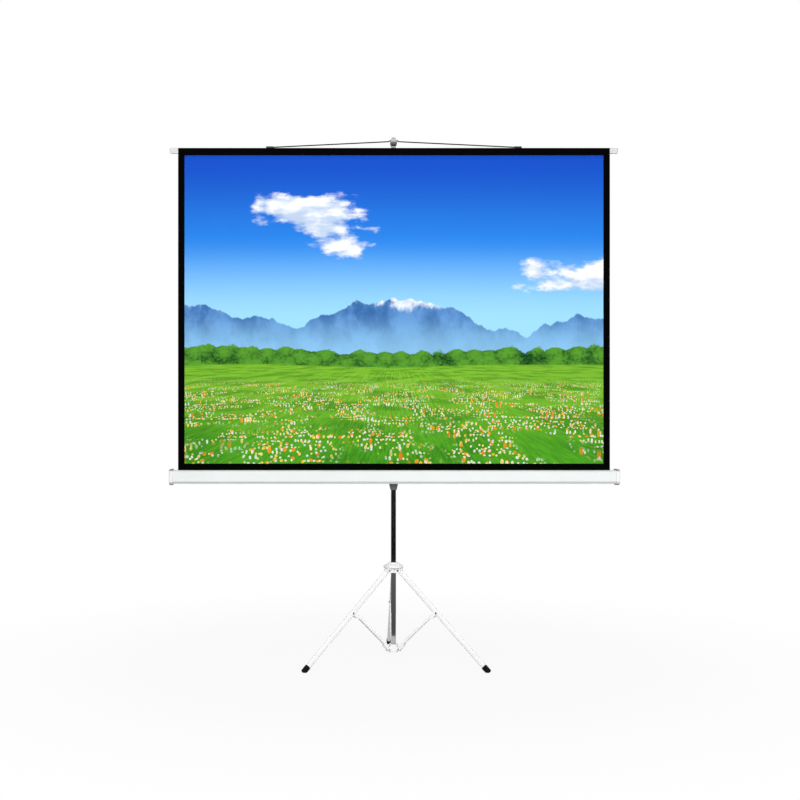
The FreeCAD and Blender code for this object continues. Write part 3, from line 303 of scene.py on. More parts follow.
def build_weave_group():
    """Plain weave: warp and weft crests over the thread spacing, and thicker threads here and there."""
    inputs = [("Place", "Vector"), ("Thread", "Float")]
    wires, given, result = shade_group("plain_weave", inputs, ["Height", "Slub"])
    x, _, z = wires.split(given["Place"])
    turn = wires.math("DIVIDE", 2 * math.pi, given["Thread"])
    warp = wires.math("SINE", wires.product(x, turn))
    weft = wires.math("SINE", wires.product(z, turn))
    wires.feed(result["Height"], wires.span(wires.product(warp, weft), -1.0, 1.0))
    slub = wires.noise(wires.stretch(given["Place"], SLUB_STRETCH), *SLUB_NOISE)
    wires.feed(result["Slub"], slub)
    return wires.tree


SURFACE = build_surface_group()
DUST = build_dust_group()
WEAR = build_wear_group()
DRAWN = build_drawn_group()
WEAVE = build_weave_group()


def use_group(wires, tree, **values):
    return wires.fill(wires.add("ShaderNodeGroup", node_tree=tree), **values)


def new_material(name):
    material = bpy.data.materials.new(name)
    material.use_nodes = True
    wires = Wires(material.node_tree)
    return material, wires, material.node_tree.nodes["Principled BSDF"].inputs


# The two kinds of finish
DUST_COLOUR = (0.62, 0.60, 0.56)
# Painted shade for the upper and lower lips of the end caps
PAINTED_LIP_SHADE_COLOUR = (0.27, 0.28, 0.28)
WEAR_REACH = 0.0007
PLAIN_SHINE = 0.5
PLATED_PATCH = 14.0
LINE_STRENGTH = 0.15


def coated(name, colour, worn, bare, rough, patch, grain, depth, strength, dust, rub,
           painted_lip_shade=None, shine=PLAIN_SHINE):
    """Paint, plastic or rubber: a tone that drifts, rubbed edges, a fine grain and a little dust.

    The painted lip shade is a middle height, and how far above and below it the finish starts to darken as painted
    shade and is fully dark."""
    material, wires, shader = new_material(name)
    place = wires.place()
    surface = use_group(wires, SURFACE, place=place, patch_scale=patch, grain_scale=grain)
    settled = use_group(wires, DUST, place=place, amount=dust)["Dust"]
    rubbed = use_group(wires, WEAR, place=place, reach=WEAR_REACH, amount=rub)["Wear"]
    tone = wires.mix(surface["Patch"], paint(colour), paint(worn))
    tone = wires.mix(rubbed, tone, paint(bare))
    # Painted shade: the tone darkens towards the upper and lower lips, where shade falls
    if painted_lip_shade:
        middle, start, end = painted_lip_shade
        out = wires.math("ABSOLUTE", wires.math("SUBTRACT", wires.split(place)[2], middle))
        tone = wires.mix(wires.ease(out, start, end), tone, paint(PAINTED_LIP_SHADE_COLOUR))
    wires.feed(shader["Base Color"], wires.mix(settled, tone, paint(DUST_COLOUR)))
    wires.feed(shader["Roughness"], wires.span(surface["Patch"], 0.0, 1.0, *rough))
    wires.feed(shader["Normal"], wires.bump(surface["Grain"], strength, depth))
    shader["Specular IOR Level"].default_value = shine
    return material


def plated(name, colour, worn, rough, lines, depth):
    """Bare or plated metal with lines along the way it was drawn."""
    material, wires, shader = new_material(name)
    place = wires.place()
    drawn = use_group(wires, DRAWN, place=wires.stretch(place, lines))["Lines"]
    surface = use_group(wires, SURFACE, place=place, patch_scale=PLATED_PATCH)
    mark = wires.product(drawn, surface["Patch"])
    wires.feed(shader["Base Color"], wires.mix(mark, paint(colour), paint(worn)))
    wires.feed(shader["Roughness"], wires.span(mark, 0.0, 1.0, *rough))
    wires.feed(shader["Normal"], wires.bump(drawn, LINE_STRENGTH, depth))
    shader["Metallic"].default_value = 1.0
    return material


# Lines of drawn metal: marks to the metre along x, y and z
ALONG_Z = (900.0, 900.0, 6.0)
ALONG_X = (6.0, 900.0, 900.0)
ALL_WAYS = (400.0, 400.0, 400.0)

# Grain of the white pieces
POWDER_COAT = {"patch": 5.0, "grain": 700.0, "depth": 0.00005, "strength": 0.15}
FINE_MOULDING = {"rough": (0.42, 0.55), "patch": 22.0, "grain": 2600.0, "depth": 0.00015}

# Finishes, one for each material slot
finishes = {
    "white_paint": coated(
        "white_powder_coat", colour=(0.815, 0.848, 0.839), worn=(0.785, 0.818, 0.809),
        bare=(0.55, 0.56, 0.565), rough=(0.34, 0.44), **POWDER_COAT, dust=0.06, rub=0.30),
    "white_plastic": coated(
        "white_moulding", colour=(0.93, 0.935, 0.93), worn=(0.89, 0.895, 0.89),
        bare=(0.95, 0.95, 0.94), **FINE_MOULDING, strength=0.35, dust=0.10, rub=0.6, shine=0.08),
    "chrome": plated(
        "bright_chrome", colour=(0.48, 0.485, 0.495), worn=(0.40, 0.405, 0.415),
        rough=(0.05, 0.13), lines=ALONG_Z, depth=0.00004),
    "grey_paint": coated(
        "grey_hammer_coat", colour=(0.115, 0.122, 0.128), worn=(0.09, 0.095, 0.10),
        bare=(0.38, 0.38, 0.39), rough=(0.38, 0.5), patch=18.0, grain=700.0, depth=0.0004,
        strength=0.4, dust=0.10, rub=0.6),
    "zinc_steel": plated(
        "zinc_plate", colour=(0.50, 0.51, 0.54), worn=(0.36, 0.37, 0.39),
        rough=(0.26, 0.42), lines=ALL_WAYS, depth=0.0001),
    "bail_wire": plated(
        "drawn_wire", colour=(0.036, 0.037, 0.039), worn=(0.024, 0.025, 0.027),
        rough=(0.26, 0.4), lines=ALONG_X, depth=0.00008),
    "black_plastic": coated(
        "black_moulding", colour=(0.016, 0.016, 0.017), worn=(0.03, 0.03, 0.031),
        bare=(0.07, 0.07, 0.072), rough=(0.4, 0.56), patch=30.0, grain=2200.0, depth=0.0002,
        strength=0.5, dust=0.12, rub=0.8, shine=0.35),
    "inner_plastic": coated(
        "plain_moulding", colour=(0.72, 0.71, 0.67), worn=(0.62, 0.61, 0.57),
        bare=(0.78, 0.77, 0.73), rough=(0.45, 0.6), patch=26.0, grain=1800.0, depth=0.0002,
        strength=0.35, dust=0.0, rub=0.4),
    "black_rubber": coated(
        "black_rubber", colour=(0.005, 0.005, 0.0055), worn=(0.011, 0.011, 0.011),
        bare=(0.045, 0.044, 0.043), rough=(0.66, 0.85), patch=45.0, grain=1500.0, depth=0.0005,
        strength=0.6, dust=0.03, rub=0.6, shine=0.06),
    "bare_aluminium": plated(
        "mill_aluminium", colour=(0.72, 0.73, 0.75), worn=(0.58, 0.59, 0.61),
        rough=(0.3, 0.46), lines=ALONG_X, depth=0.0001),
}

# Finishes of single pieces. The end caps of the case get painted shade along their upper and lower lips, between
# two distances from the case's edges.
LIP_SHADE_START = -0.004
LIP_SHADE_END = 0.002
case_middle = (case_low[2] + case_high[2]) / 2
case_half_tall = (case_high[2] - case_low[2]) / 2
cap_coat = coated(
    "lip_shaded_cap", colour=(0.87, 0.885, 0.88), worn=(0.83, 0.845, 0.84), bare=(0.90, 0.90, 0.89),
    **FINE_MOULDING, strength=0.35, dust=0.0, rub=0.4,
    painted_lip_shade=(case_middle, case_half_tall + LIP_SHADE_START, case_half_tall + LIP_SHADE_END))
leg_coat = coated(
    "white_leg_coat", colour=(0.95, 0.95, 0.945), worn=(0.92, 0.92, 0.915), bare=(0.60, 0.60, 0.61),
    rough=(0.36, 0.46), **POWDER_COAT, dust=0.04, rub=0.25, shine=0.08)
slat_cap_coat = coated(
    "pale_grey_cap", colour=(0.70, 0.71, 0.71), worn=(0.64, 0.65, 0.65), bare=(0.80, 0.80, 0.80),
    **FINE_MOULDING, strength=0.3, dust=0.0, rub=0.4)
hook_plate = plated(
    "satin_hook", colour=(0.58, 0.585, 0.59), worn=(0.44, 0.445, 0.45),
    rough=(0.30, 0.45), lines=ALL_WAYS, depth=0.0001)

single_finishes = {"hanger_hook": hook_plate}
for side in ("left", "right"):
    single_finishes["case_cap_" + side] = cap_coat
    single_finishes["slat_cap_" + side] = slat_cap_coat
for side in ("left", "right", "rear"):
    single_finishes["leg_" + side] = leg_coat
    single_finishes["brace_" + side] = leg_coat

# The cloth's black side, border and hem, and the weave on both sides
BLACK_DYE = (0.0006, 0.0006, 0.0008)
BLACK_DYE_THIN = (0.0020, 0.0020, 0.0023)
BACK_DYE = (0.010, 0.010, 0.0105)
BACK_DYE_THIN = (0.030, 0.030, 0.031)
CLOTH_SHINE = 0.02
BACK_SHINE = 0.12
BLACK_PATCH = 7.0
BLACK_ROUGH = (0.82, 0.95)
BLACK_WEAVE_STRENGTH = 0.35
BLACK_WEAVE_DEPTH = 0.0002
FRONT_SLUB_EDGES = (0.3, 0.7)
FRONT_ROUGH = (0.78, 0.92)
FRONT_WEAVE_STRENGTH = 0.12
FRONT_WEAVE_DEPTH = 0.0001


def black_cloth(name, dye, thin, shine):
    """Black cloth: plain weave with uneven threads and slightly shiny patches of handling."""
    material, wires, shader = new_material(name)
    place = wires.place()
    weave = use_group(wires, WEAVE, place=place, thread=THREAD)
    surface = use_group(wires, SURFACE, place=place, patch_scale=BLACK_PATCH)
    wires.feed(shader["Base Color"], wires.mix(weave["Slub"], paint(dye), paint(thin)))
    wires.feed(shader["Roughness"], wires.span(surface["Patch"], 0.0, 1.0, *BLACK_ROUGH))
    wires.feed(shader["Normal"], wires.bump(weave["Height"], BLACK_WEAVE_STRENGTH, BLACK_WEAVE_DEPTH))
    shader["Specular IOR Level"].default_value = shine
    return material


# The picture: a made-up summer view of clouds, far peaks, woods and a flowering meadow. Its places are
# shares of its width, u, and of its height, v. A reach is where one tone starts and the next is full.
PICTURE_SHAPE = 2 * picture_half / (picture_top - picture_base)
RIDGE_ROUGH = 0.55
SKYLINE_SOFT = 0.003

# Sky and clouds
SKY_TOP = (0.010, 0.080, 0.56)
SKY_MIDDLE = (0.028, 0.26, 0.82)
SKY_LOW = (0.34, 0.70, 0.96)
SKY_MIDDLE_REACH = (0.45, 0.75)
SKY_TOP_REACH = (0.62, 1.0)
CLOUD_LIGHT = (0.95, 0.96, 0.98)
CLOUD_SHADE = (0.50, 0.62, 0.82)
CLOUD_BILLOW = (3.4, 5.2, 1.0)
CLOUD_NOISE = (1.0, 8.0, 0.58)
CLOUD_SUN_SIDE = (-0.012, 0.022)
CLOUD_SUN_EDGES = (-0.05, 0.07)
CLOUD_LEFT_ACROSS = ((0.05, 0.2), (0.58, 0.34))
CLOUD_LEFT_UP = ((0.60, 0.72), (0.96, 0.84))
CLOUD_RIGHT_ACROSS = ((0.62, 0.80),)
CLOUD_RIGHT_UP = ((0.50, 0.58), (0.76, 0.64))
CLOUD_EDGE = 0.72
CLOUD_EDGE_DROP = 0.28
CLOUD_SOFT = 0.07

# Peaks
PEAK_NEAR = (0.04, 0.14, 0.38)
PEAK_FAR = (0.12, 0.30, 0.64)
PEAK_SNOW = (0.84, 0.89, 0.96)
PEAK_RIDGE = {"base": 0.50, "rise": 0.42, "scale": 3.1, "seed": 3.7, "detail": 6.0}
PEAK_FOLDS = (16.0, 7.0, 1.0)
PEAK_NOISE = (1.0, 7.0, 0.65)
PEAK_EDGES = (0.35, 0.65)
SNOW_HANG = 0.16
SNOW_LINE = (0.585, 0.615)
SNOW_EDGES = (0.40, 0.55)
HAZE_REACH = (0.50, 0.36)
HAZE_SHARE = 0.6

# Woods. Crown is how many tree crowns go across the picture, and leaves are a multiple of it.
WOOD_DARK = (0.006, 0.055, 0.012)
WOOD_LIGHT = (0.10, 0.33, 0.03)
FAR_WOODS = {"base": 0.37, "rise": 0.10, "scale": 2.2, "seed": 1.3, "crown": 26.0}
NEAR_WOODS = {"base": 0.30, "rise": 0.22, "scale": 1.7, "seed": 6.2, "crown": 15.0}
WOOD_DETAIL = 2.0
WOOD_SOFT = 0.002
CROWN_UP = 0.8
CROWN_RAGGED = 0.7
CROWN_SHADE = 0.45
LEAF_ACROSS = 5
LEAF_UP = 4
LEAF_NOISE = (1.0, 5.0, 0.7)
LEAF_FRINGE = 0.5
LEAF_LIFT = 0.12
LEAF_EDGES = (0.12, 0.62)

# Meadow. A ground noise is its scale across and ahead, its detail and its roughness.
GRASS_FAR = (0.26, 0.58, 0.04)
GRASS_NEAR = (0.09, 0.38, 0.02)
GRASS_DARK = (0.02, 0.16, 0.01)
GRASS_REACH = (0.33, 0.02)
MEADOW_RIDGE = {"base": 0.315, "rise": 0.06, "scale": 1.6, "seed": 9.1, "detail": 1.0}
MEADOW_HORIZON = 0.37
MEADOW_LEAST_DROP = 0.03
GRASS_BLADES = (58.0, 30.0, 5.0, 0.7)
GRASS_SWELL = (1.3, 0.8, 3.0, 0.5)
BLADE_EDGES = (0.60, 0.40)
BLADE_SHARE = 0.55
SWELL_EDGES = (0.56, 0.40)
SWELL_SHARE = 0.40
DARK_SHARE = 0.85

# Flowers: rows for each e-fold of depth, an offset, and the two tones that they vary between
FLOWERS = (
    (15.0, 2.3, (0.88, 0.50, 0.02), (0.93, 0.78, 0.30)),
    (11.0, 7.9, (0.84, 0.16, 0.02), (0.90, 0.34, 0.03)),
    (19.0, 5.1, (0.90, 0.90, 0.88), (0.75, 0.78, 0.92)),
    (23.0, 3.7, (0.93, 0.82, 0.10), (0.90, 0.90, 0.86)),
)
FLOWER_HEART = (0.55, 0.24, 0.01)
FLOWER_DRIFT = (2.1, 1.1, 2.0, 0.5)
FLOWER_SWAY = (2.3, 1.7, 2.0, 0.5)
FLOWER_SWAY_ROWS = 3.0
FLOWER_STRAY = (0.3, 0.7)
FLOWER_CHANCE = (0.56, 0.62)
FLOWER_PATCHES = (0.41, 0.53)
FLOWER_REACH = (0.285, 0.235)
PETAL_EDGE = (0.27, 0.17)
PETAL_FRILL = 0.10
HEART_EDGE = (0.10, 0.05)


def sky_patch(wires, u, v, across, up):
    """A soft-edged patch of sky for clouds, by its edges across and up."""
    edges = [wires.ease(u, *edge) for edge in across]
    edges += [wires.ease(v, *edge) for edge in up]
    return wires.product(*edges)


def draw_sky(wires, u, v, flat):
    """Blue sky, paler below, with two banks of cloud lit from above."""
    sky = wires.mix(wires.ease(v, *SKY_MIDDLE_REACH), paint(SKY_LOW), paint(SKY_MIDDLE))
    sky = wires.mix(wires.ease(v, *SKY_TOP_REACH), sky, paint(SKY_TOP))
    aside, above = CLOUD_SUN_SIDE
    sunward = wires.join(wires.math("ADD", u, aside), wires.math("ADD", v, above))
    puff = wires.noise(wires.stretch(flat, CLOUD_BILLOW), *CLOUD_NOISE)
    behind = wires.noise(wires.stretch(sunward, CLOUD_BILLOW), *CLOUD_NOISE)
    left = sky_patch(wires, u, v, CLOUD_LEFT_ACROSS, CLOUD_LEFT_UP)
    right = sky_patch(wires, u, v, CLOUD_RIGHT_ACROSS, CLOUD_RIGHT_UP)
    where = wires.math("MAXIMUM", left, right)
    edge = wires.math("SUBTRACT", CLOUD_EDGE, wires.product(where, CLOUD_EDGE_DROP))
    amount = wires.ease(puff, edge, wires.math("ADD", edge, CLOUD_SOFT))
    sun = wires.ease(wires.math("SUBTRACT", puff, behind), *CLOUD_SUN_EDGES)
    return wires.mix(amount, sky, wires.mix(sun, paint(CLOUD_SHADE), paint(CLOUD_LIGHT)))


def ridge(wires, u, base, rise, scale, seed, detail):
    """The height of a skyline along u."""
    rough = wires.noise(wires.join(wires.product(u, scale), seed), 1.0, detail, RIDGE_ROUGH)
    return wires.math("ADD", wires.product(wires.math("SUBTRACT", rough, 0.5), rise), base)


def under(wires, v, skyline, soft=SKYLINE_SOFT):
    """1 below a skyline and 0 above it, with a soft edge."""
    return wires.ease(wires.math("SUBTRACT", skyline, v), -soft, soft)


def draw_peaks(wires, colour, u, v, flat):
    """Folded blue peaks with snow on top and haze at their feet."""
    skyline = ridge(wires, u, **PEAK_RIDGE)
    folds = wires.noise(wires.stretch(flat, PEAK_FOLDS), *PEAK_NOISE)
    snow_line = wires.math("ADD", v, wires.product(folds, SNOW_HANG))
    snow = wires.product(wires.ease(snow_line, *SNOW_LINE), wires.ease(folds, *SNOW_EDGES))
    rock = wires.mix(wires.ease(folds, *PEAK_EDGES), paint(PEAK_NEAR), paint(PEAK_FAR))
    rock = wires.mix(snow, rock, paint(PEAK_SNOW))
    rock = wires.mix(wires.product(wires.ease(v, *HAZE_REACH), HAZE_SHARE), rock, paint(SKY_LOW))
    return wires.mix(under(wires, v, skyline), colour, rock)


def draw_woods(wires, colour, u, v, flat, crown, **line):
    """A line of round tree crowns, lit from above."""
    skyline = ridge(wires, u, **line, detail=WOOD_DETAIL)
    tops = wires.spots(wires.stretch(flat, (crown, crown * CROWN_UP, 1.0)))
    leafy = wires.noise(wires.stretch(flat, (crown * LEAF_ACROSS, crown * LEAF_UP, 1.0)), *LEAF_NOISE)
    ragged = wires.product(wires.math("SUBTRACT", 0.5, tops), CROWN_RAGGED / crown)
    fringe = wires.product(wires.math("SUBTRACT", leafy, 0.5), LEAF_FRINGE / crown)
    skyline = wires.math("ADD", wires.math("ADD", skyline, ragged), fringe)
    glow = wires.math("SUBTRACT", wires.math("ADD", leafy, LEAF_LIFT), wires.product(tops, CROWN_SHADE))
    leaf = wires.mix(wires.ease(glow, *LEAF_EDGES), paint(WOOD_DARK), paint(WOOD_LIGHT))
    return wires.mix(under(wires, v, skyline, WOOD_SOFT), colour, leaf)


def flower_cell(wires, u, depth, rows, offset):
    """One flower in each cell of rows that widen towards the viewer: how far it is, and its chances."""
    row = wires.math("FLOOR", depth)
    wide = wires.math("POWER", math.e, wires.math("DIVIDE", wires.math("ADD", row, 0.5), rows))
    across = wires.product(wires.math("SUBTRACT", u, 0.5), wide, rows * PICTURE_SHAPE)
    across = wires.math("ADD", across, wires.product(row, offset))
    number = wires.math("FLOOR", across)
    chance = wires.add("ShaderNodeTexWhiteNoise", noise_dimensions="3D")
    wires.feed(chance.inputs["Vector"], wires.join(number, row, offset))
    chances = wires.split(chance.outputs["Color"])
    reach = []
    for place, start, share in ((across, number, chances[2]), (depth, row, chances[1])):
        middle = wires.math("ADD", start, wires.span(share, 0.0, 1.0, *FLOWER_STRAY))
        reach.append(wires.math("SUBTRACT", place, middle))
    squares = [wires.product(way, way) for way in reach]
    return wires.math("SQRT", wires.math("ADD", *squares)), chances


def ground_noise(wires, side, ahead, across, along, detail, rough):
    """Noise that lies on the meadow, with its scale across and ahead."""
    ground = wires.join(wires.product(side, across), wires.product(ahead, along))
    return wires.noise(ground, 1.0, detail, rough)


def draw_meadow(wires, colour, u, v):
    """Grass and flowers that shrink towards the horizon."""
    skyline = ridge(wires, u, **MEADOW_RIDGE)
    drop = wires.math("MAXIMUM", wires.math("SUBTRACT", MEADOW_HORIZON, v), MEADOW_LEAST_DROP)
    away = wires.math("DIVIDE", 1.0, drop)
    side = wires.product(wires.math("SUBTRACT", u, 0.5), away)
    blades = ground_noise(wires, side, v, *GRASS_BLADES)
    swell = ground_noise(wires, side, away, *GRASS_SWELL)
    drift = ground_noise(wires, side, away, *FLOWER_DRIFT)
    grass = wires.mix(wires.ease(v, *GRASS_REACH), paint(GRASS_FAR), paint(GRASS_NEAR))
    dark = wires.math("ADD", wires.product(wires.ease(blades, *BLADE_EDGES), BLADE_SHARE),
                      wires.product(wires.ease(swell, *SWELL_EDGES), SWELL_SHARE))
    grass = wires.mix(wires.product(dark, DARK_SHARE), grass, paint(GRASS_DARK))
    near = wires.ease(v, *FLOWER_REACH)
    depth = wires.math("LOGARITHM", away, math.e)
    sway = ground_noise(wires, side, away, *FLOWER_SWAY)
    sway = wires.product(sway, FLOWER_SWAY_ROWS)
    for rows, offset, tone, other in FLOWERS:
        row_depth = wires.math("ADD", wires.product(depth, rows), sway)
        apart, (pick, hue, _) = flower_cell(wires, u, row_depth, rows, offset)
        frill = wires.math("ADD", apart, wires.product(wires.math("SUBTRACT", blades, 0.5), PETAL_FRILL))
        bloom = wires.product(wires.ease(frill, *PETAL_EDGE), wires.ease(pick, *FLOWER_CHANCE),
                              wires.ease(drift, *FLOWER_PATCHES), near)
        petal = wires.mix(hue, paint(tone), paint(other))
        petal = wires.mix(wires.ease(apart, *HEART_EDGE), petal, paint(FLOWER_HEART))
        grass = wires.mix(bloom, grass, petal)
    return wires.mix(under(wires, v, skyline), colour, grass)


def screen_front():
    """White coated cloth with the picture on it and a black border printed round it."""
    material, wires, shader = new_material("screen_front")
    place = wires.place()
    x, _, z = wires.split(place)
    u = wires.span(x, -picture_half, picture_half)
    v = wires.span(z, picture_base, picture_top)
    flat = wires.join(u, v)
    view = draw_sky(wires, u, v, flat)
    view = draw_peaks(wires, view, u, v, flat)
    view = draw_woods(wires, view, u, v, flat, **FAR_WOODS)
    view = draw_woods(wires, view, u, v, flat, **NEAR_WOODS)
    view = draw_meadow(wires, view, u, v)
    across = wires.math("ABSOLUTE", x)
    inside = wires.product(wires.ease(across, picture_half + BORDER_SOFT, picture_half - BORDER_SOFT),
                           wires.ease(z, picture_base - BORDER_SOFT, picture_base + BORDER_SOFT))
    weave = use_group(wires, WEAVE, place=place, thread=THREAD)
    border = wires.mix(weave["Slub"], paint(BLACK_DYE), paint(BLACK_DYE_THIN))
    wires.feed(shader["Base Color"], wires.mix(inside, border, view))
    wires.feed(shader["Roughness"], wires.span(weave["Slub"], *FRONT_SLUB_EDGES, *FRONT_ROUGH))
    wires.feed(shader["Normal"], wires.bump(weave["Height"], FRONT_WEAVE_STRENGTH, FRONT_WEAVE_DEPTH))
    shader["Specular IOR Level"].default_value = CLOTH_SHINE
    return material


cloth_front = screen_front()
cloth_back = black_cloth("screen_back", BACK_DYE, BACK_DYE_THIN, BACK_SHINE)
hem_cloth = black_cloth("hem_cloth", BLACK_DYE, BLACK_DYE_THIN, CLOTH_SHINE)


# Cloth pieces
def settle(piece):
    """Turn a piece's modifiers into plain mesh."""
    depsgraph = bpy.context.evaluated_depsgraph_get()
    mesh = bpy.data.meshes.new_from_object(piece.evaluated_get(depsgraph))
    piece.modifiers.clear()
    piece.data = mesh
    for face in mesh.polygons:
        face.use_smooth = True


def strip_mesh(name, rows):
    """A sheet through rows of points, each row as long as the next."""
    columns = len(rows[0])
    points = [point for row in rows for point in row]
    faces = []
    for r in range(len(rows) - 1):
        for c in range(columns - 1):
            corner = r * columns + c
            faces.append((corner, corner + 1, corner + columns + 1, corner + columns))
    mesh = bpy.data.meshes.new(name)
    mesh.from_pydata(points, [], faces)
    return mesh


def cloth_piece(name, rows, materials, body, replaced, offset=0.0):
    """A sheet with the cloth's thickness, in place of a node of the frame."""
    piece = bpy.data.objects.new(name, strip_mesh(name, rows))
    scene.collection.objects.link(piece)
    for material in materials:
        piece.data.materials.append(material)
    solid = piece.modifiers.new("thickness", "SOLIDIFY")
    solid.thickness = CLOTH_THICK
    solid.offset = offset
    solid.material_offset = len(materials) - 1
    solid.material_offset_rim = len(materials) - 1
    settle(piece)
    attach(piece, body)
    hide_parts(replaced)
    return piece


def cloth_wave(across, up):
    """How far the cloth stands out: a faint wave that dies out at both ends."""
    fade = math.sin(math.pi * up) ** 2
    along = math.sin(HALF_WAVES_ACROSS * math.pi * across + WAVE_LEAN * up)
    return CLOTH_WAVE * fade * (along * math.cos(HALF_WAVES_UP * math.pi * up))


def make_cloth():
    """The sheet from the roller to the hem."""
    tall = cloth_high[2] - cloth_low[2]
    wide = cloth_high[0] - cloth_low[0]
    rows = []
    for r in range(CLOTH_ROWS + 1):
        up = r / CLOTH_ROWS
        row = []
        for c in range(CLOTH_COLUMNS + 1):
            across = c / CLOTH_COLUMNS
            row.append((cloth_low[0] + across * wide, cloth_low[1] + cloth_wave(across, up),
                        cloth_low[2] + up * tall))
        rows.append(row)
    return cloth_piece("screen_sheet", rows, [cloth_front, cloth_back], "carriage",
                       "screen_cloth", -1.0)


def make_hem():
    """The black pocket of cloth round the slat, sewn together below it."""
    half = CLOTH_THICK / 2
    front = hem_low[1] + half
    back = hem_high[1] - half
    top = hem_high[2] - half
    bend_z = top - HEM_BEND
    seam = hem_low[2] + SEAM_RISE
    section = [(front, hem_low[2]), (front, seam)]
    for bend_y, start in ((front + HEM_BEND, math.pi), (back - HEM_BEND, math.pi / 2)):
        for i in range(HEM_BEND_STEPS + 1):
            turn = start - i / HEM_BEND_STEPS * math.pi / 2
            section.append((bend_y + HEM_BEND * math.cos(turn), bend_z + HEM_BEND * math.sin(turn)))
    section.append((back, slat_low[2] - CLOTH_THICK))
    section.append((front + 2 * CLOTH_THICK, seam))
    section.append((front + CLOTH_THICK, hem_low[2]))
    wide = hem_high[0] - hem_low[0]
    places = [hem_low[0] + c / HEM_COLUMNS * wide for c in range(HEM_COLUMNS + 1)]
    rows = [[(x, y, z) for x in places] for y, z in section]
    return cloth_piece("hem_pocket", rows, [hem_cloth], "slat", "screen_hem")


def make_roll():
    """The turns of cloth that stay on the roller."""
    axis_y = (roll_low[1] + roll_high[1]) / 2
    axis_z = (roll_low[2] + roll_high[2]) / 2
    outer = (roll_high[2] - roll_low[2] - CLOTH_THICK) / 2
    rows = []
    for i in range(ROLL_TURNS * ROLL_STEPS + 1):
        turn = i / ROLL_STEPS
        radius = outer - turn * ROLL_STEP_IN
        angle = -turn * 2 * math.pi
        y = axis_y + radius * math.cos(angle)
        z = axis_z + radius * math.sin(angle)
        rows.append([(roll_low[0], y, z), (roll_high[0], y, z)])
    cloth_piece("cloth_turns", rows, [cloth_back], "roller", "cloth_roll")


cloth = make_cloth()
hem = make_hem()
make_roll()

# Small parts that repeat, made by geometry nodes
LINE_INPUTS = (("Start", "Vector"), ("Step", "Vector"), ("Count", "Int"))
FACING_BACK = (-math.pi / 2, 0.0, 0.0)


def pattern_tree(name, inputs):
    """A geometry node tree with named inputs and a finish: its wires and inputs."""
    tree = bpy.data.node_groups.new(name, "GeometryNodeTree")
    for label, kind in (*inputs, ("Material", "Material")):
        tree.interface.new_socket(label, in_out="INPUT", socket_type="NodeSocket" + kind)
    tree.interface.new_socket("Geometry", in_out="OUTPUT", socket_type="NodeSocketGeometry")
    wires = Wires(tree)
    return wires, wires.add("NodeGroupInput").outputs


def line_points(wires, given):
    """Points at even steps along a line."""
    line = wires.add("GeometryNodeMeshLine", mode="OFFSET")
    return wires.fill(line, count=given["Count"], start_location=given["Start"], offset=given["Step"])[0]


def moved(wires, shape, **change):
    return wires.fill(wires.add("GeometryNodeTransform"), geometry=shape, **change)[0]


def close_tree(wires, given, points, shape, **settings):
    """Set a shape on points, make the copies real and give them their finish."""
    spread = wires.add("GeometryNodeInstanceOnPoints")
    spread = wires.fill(spread, points=points, instance=shape, **settings)[0]
    real = wires.fill(wires.add("GeometryNodeRealizeInstances"), geometry=spread)[0]
    finish = wires.add("GeometryNodeSetMaterial")
    finish = wires.fill(finish, geometry=real, material=given["Material"])[0]
    wires.feed(wires.add("NodeGroupOutput").inputs[0], finish)
    return wires.tree


def build_bead_tree():
    """Rounded beads in a row, such as stitches and grip ribs."""
    wires, given = pattern_tree("bead_row", (*LINE_INPUTS, ("Size", "Vector")))
    bead = wires.add("GeometryNodeMeshUVSphere")
    bead = wires.fill(bead, segments=BEAD_SIDES, rings=BEAD_BANDS, radius=0.5)[0]
    return close_tree(wires, given, line_points(wires, given), bead, scale=given["Size"])


def build_ring_tree():
    """Flat oval rings in a stack, such as ribs round a rubber foot."""
    sizes = (("Turn", "Vector"), ("Width", "Float"), ("Depth", "Float"), ("Bead", "Float"))
    wires, given = pattern_tree("oval_rings", (*LINE_INPUTS, *sizes))
    outline = wires.add("GeometryNodeCurvePrimitiveQuadrilateral")
    outline = wires.fill(outline, width=given["Width"], height=given["Depth"])[0]
    oval = wires.add("GeometryNodeFilletCurve", mode="POLY")
    oval = wires.fill(oval, curve=outline, count=FOOT_RIB_ROUND_STEPS, limit_radius=True,
                      radius=wires.product(given["Width"], FOOT_RIB_ROUND))[0]
    section = wires.add("GeometryNodeCurvePrimitiveCircle")
    section = wires.fill(section, resolution=FOOT_RIB_SIDES, radius=given["Bead"])[0]
    ring = wires.add("GeometryNodeCurveToMesh")
    wires.feed(ring.inputs[0], oval)
    wires.feed(ring.inputs[1], section)
    return close_tree(wires, given, line_points(wires, given), ring.outputs[0], rotation=given["Turn"])


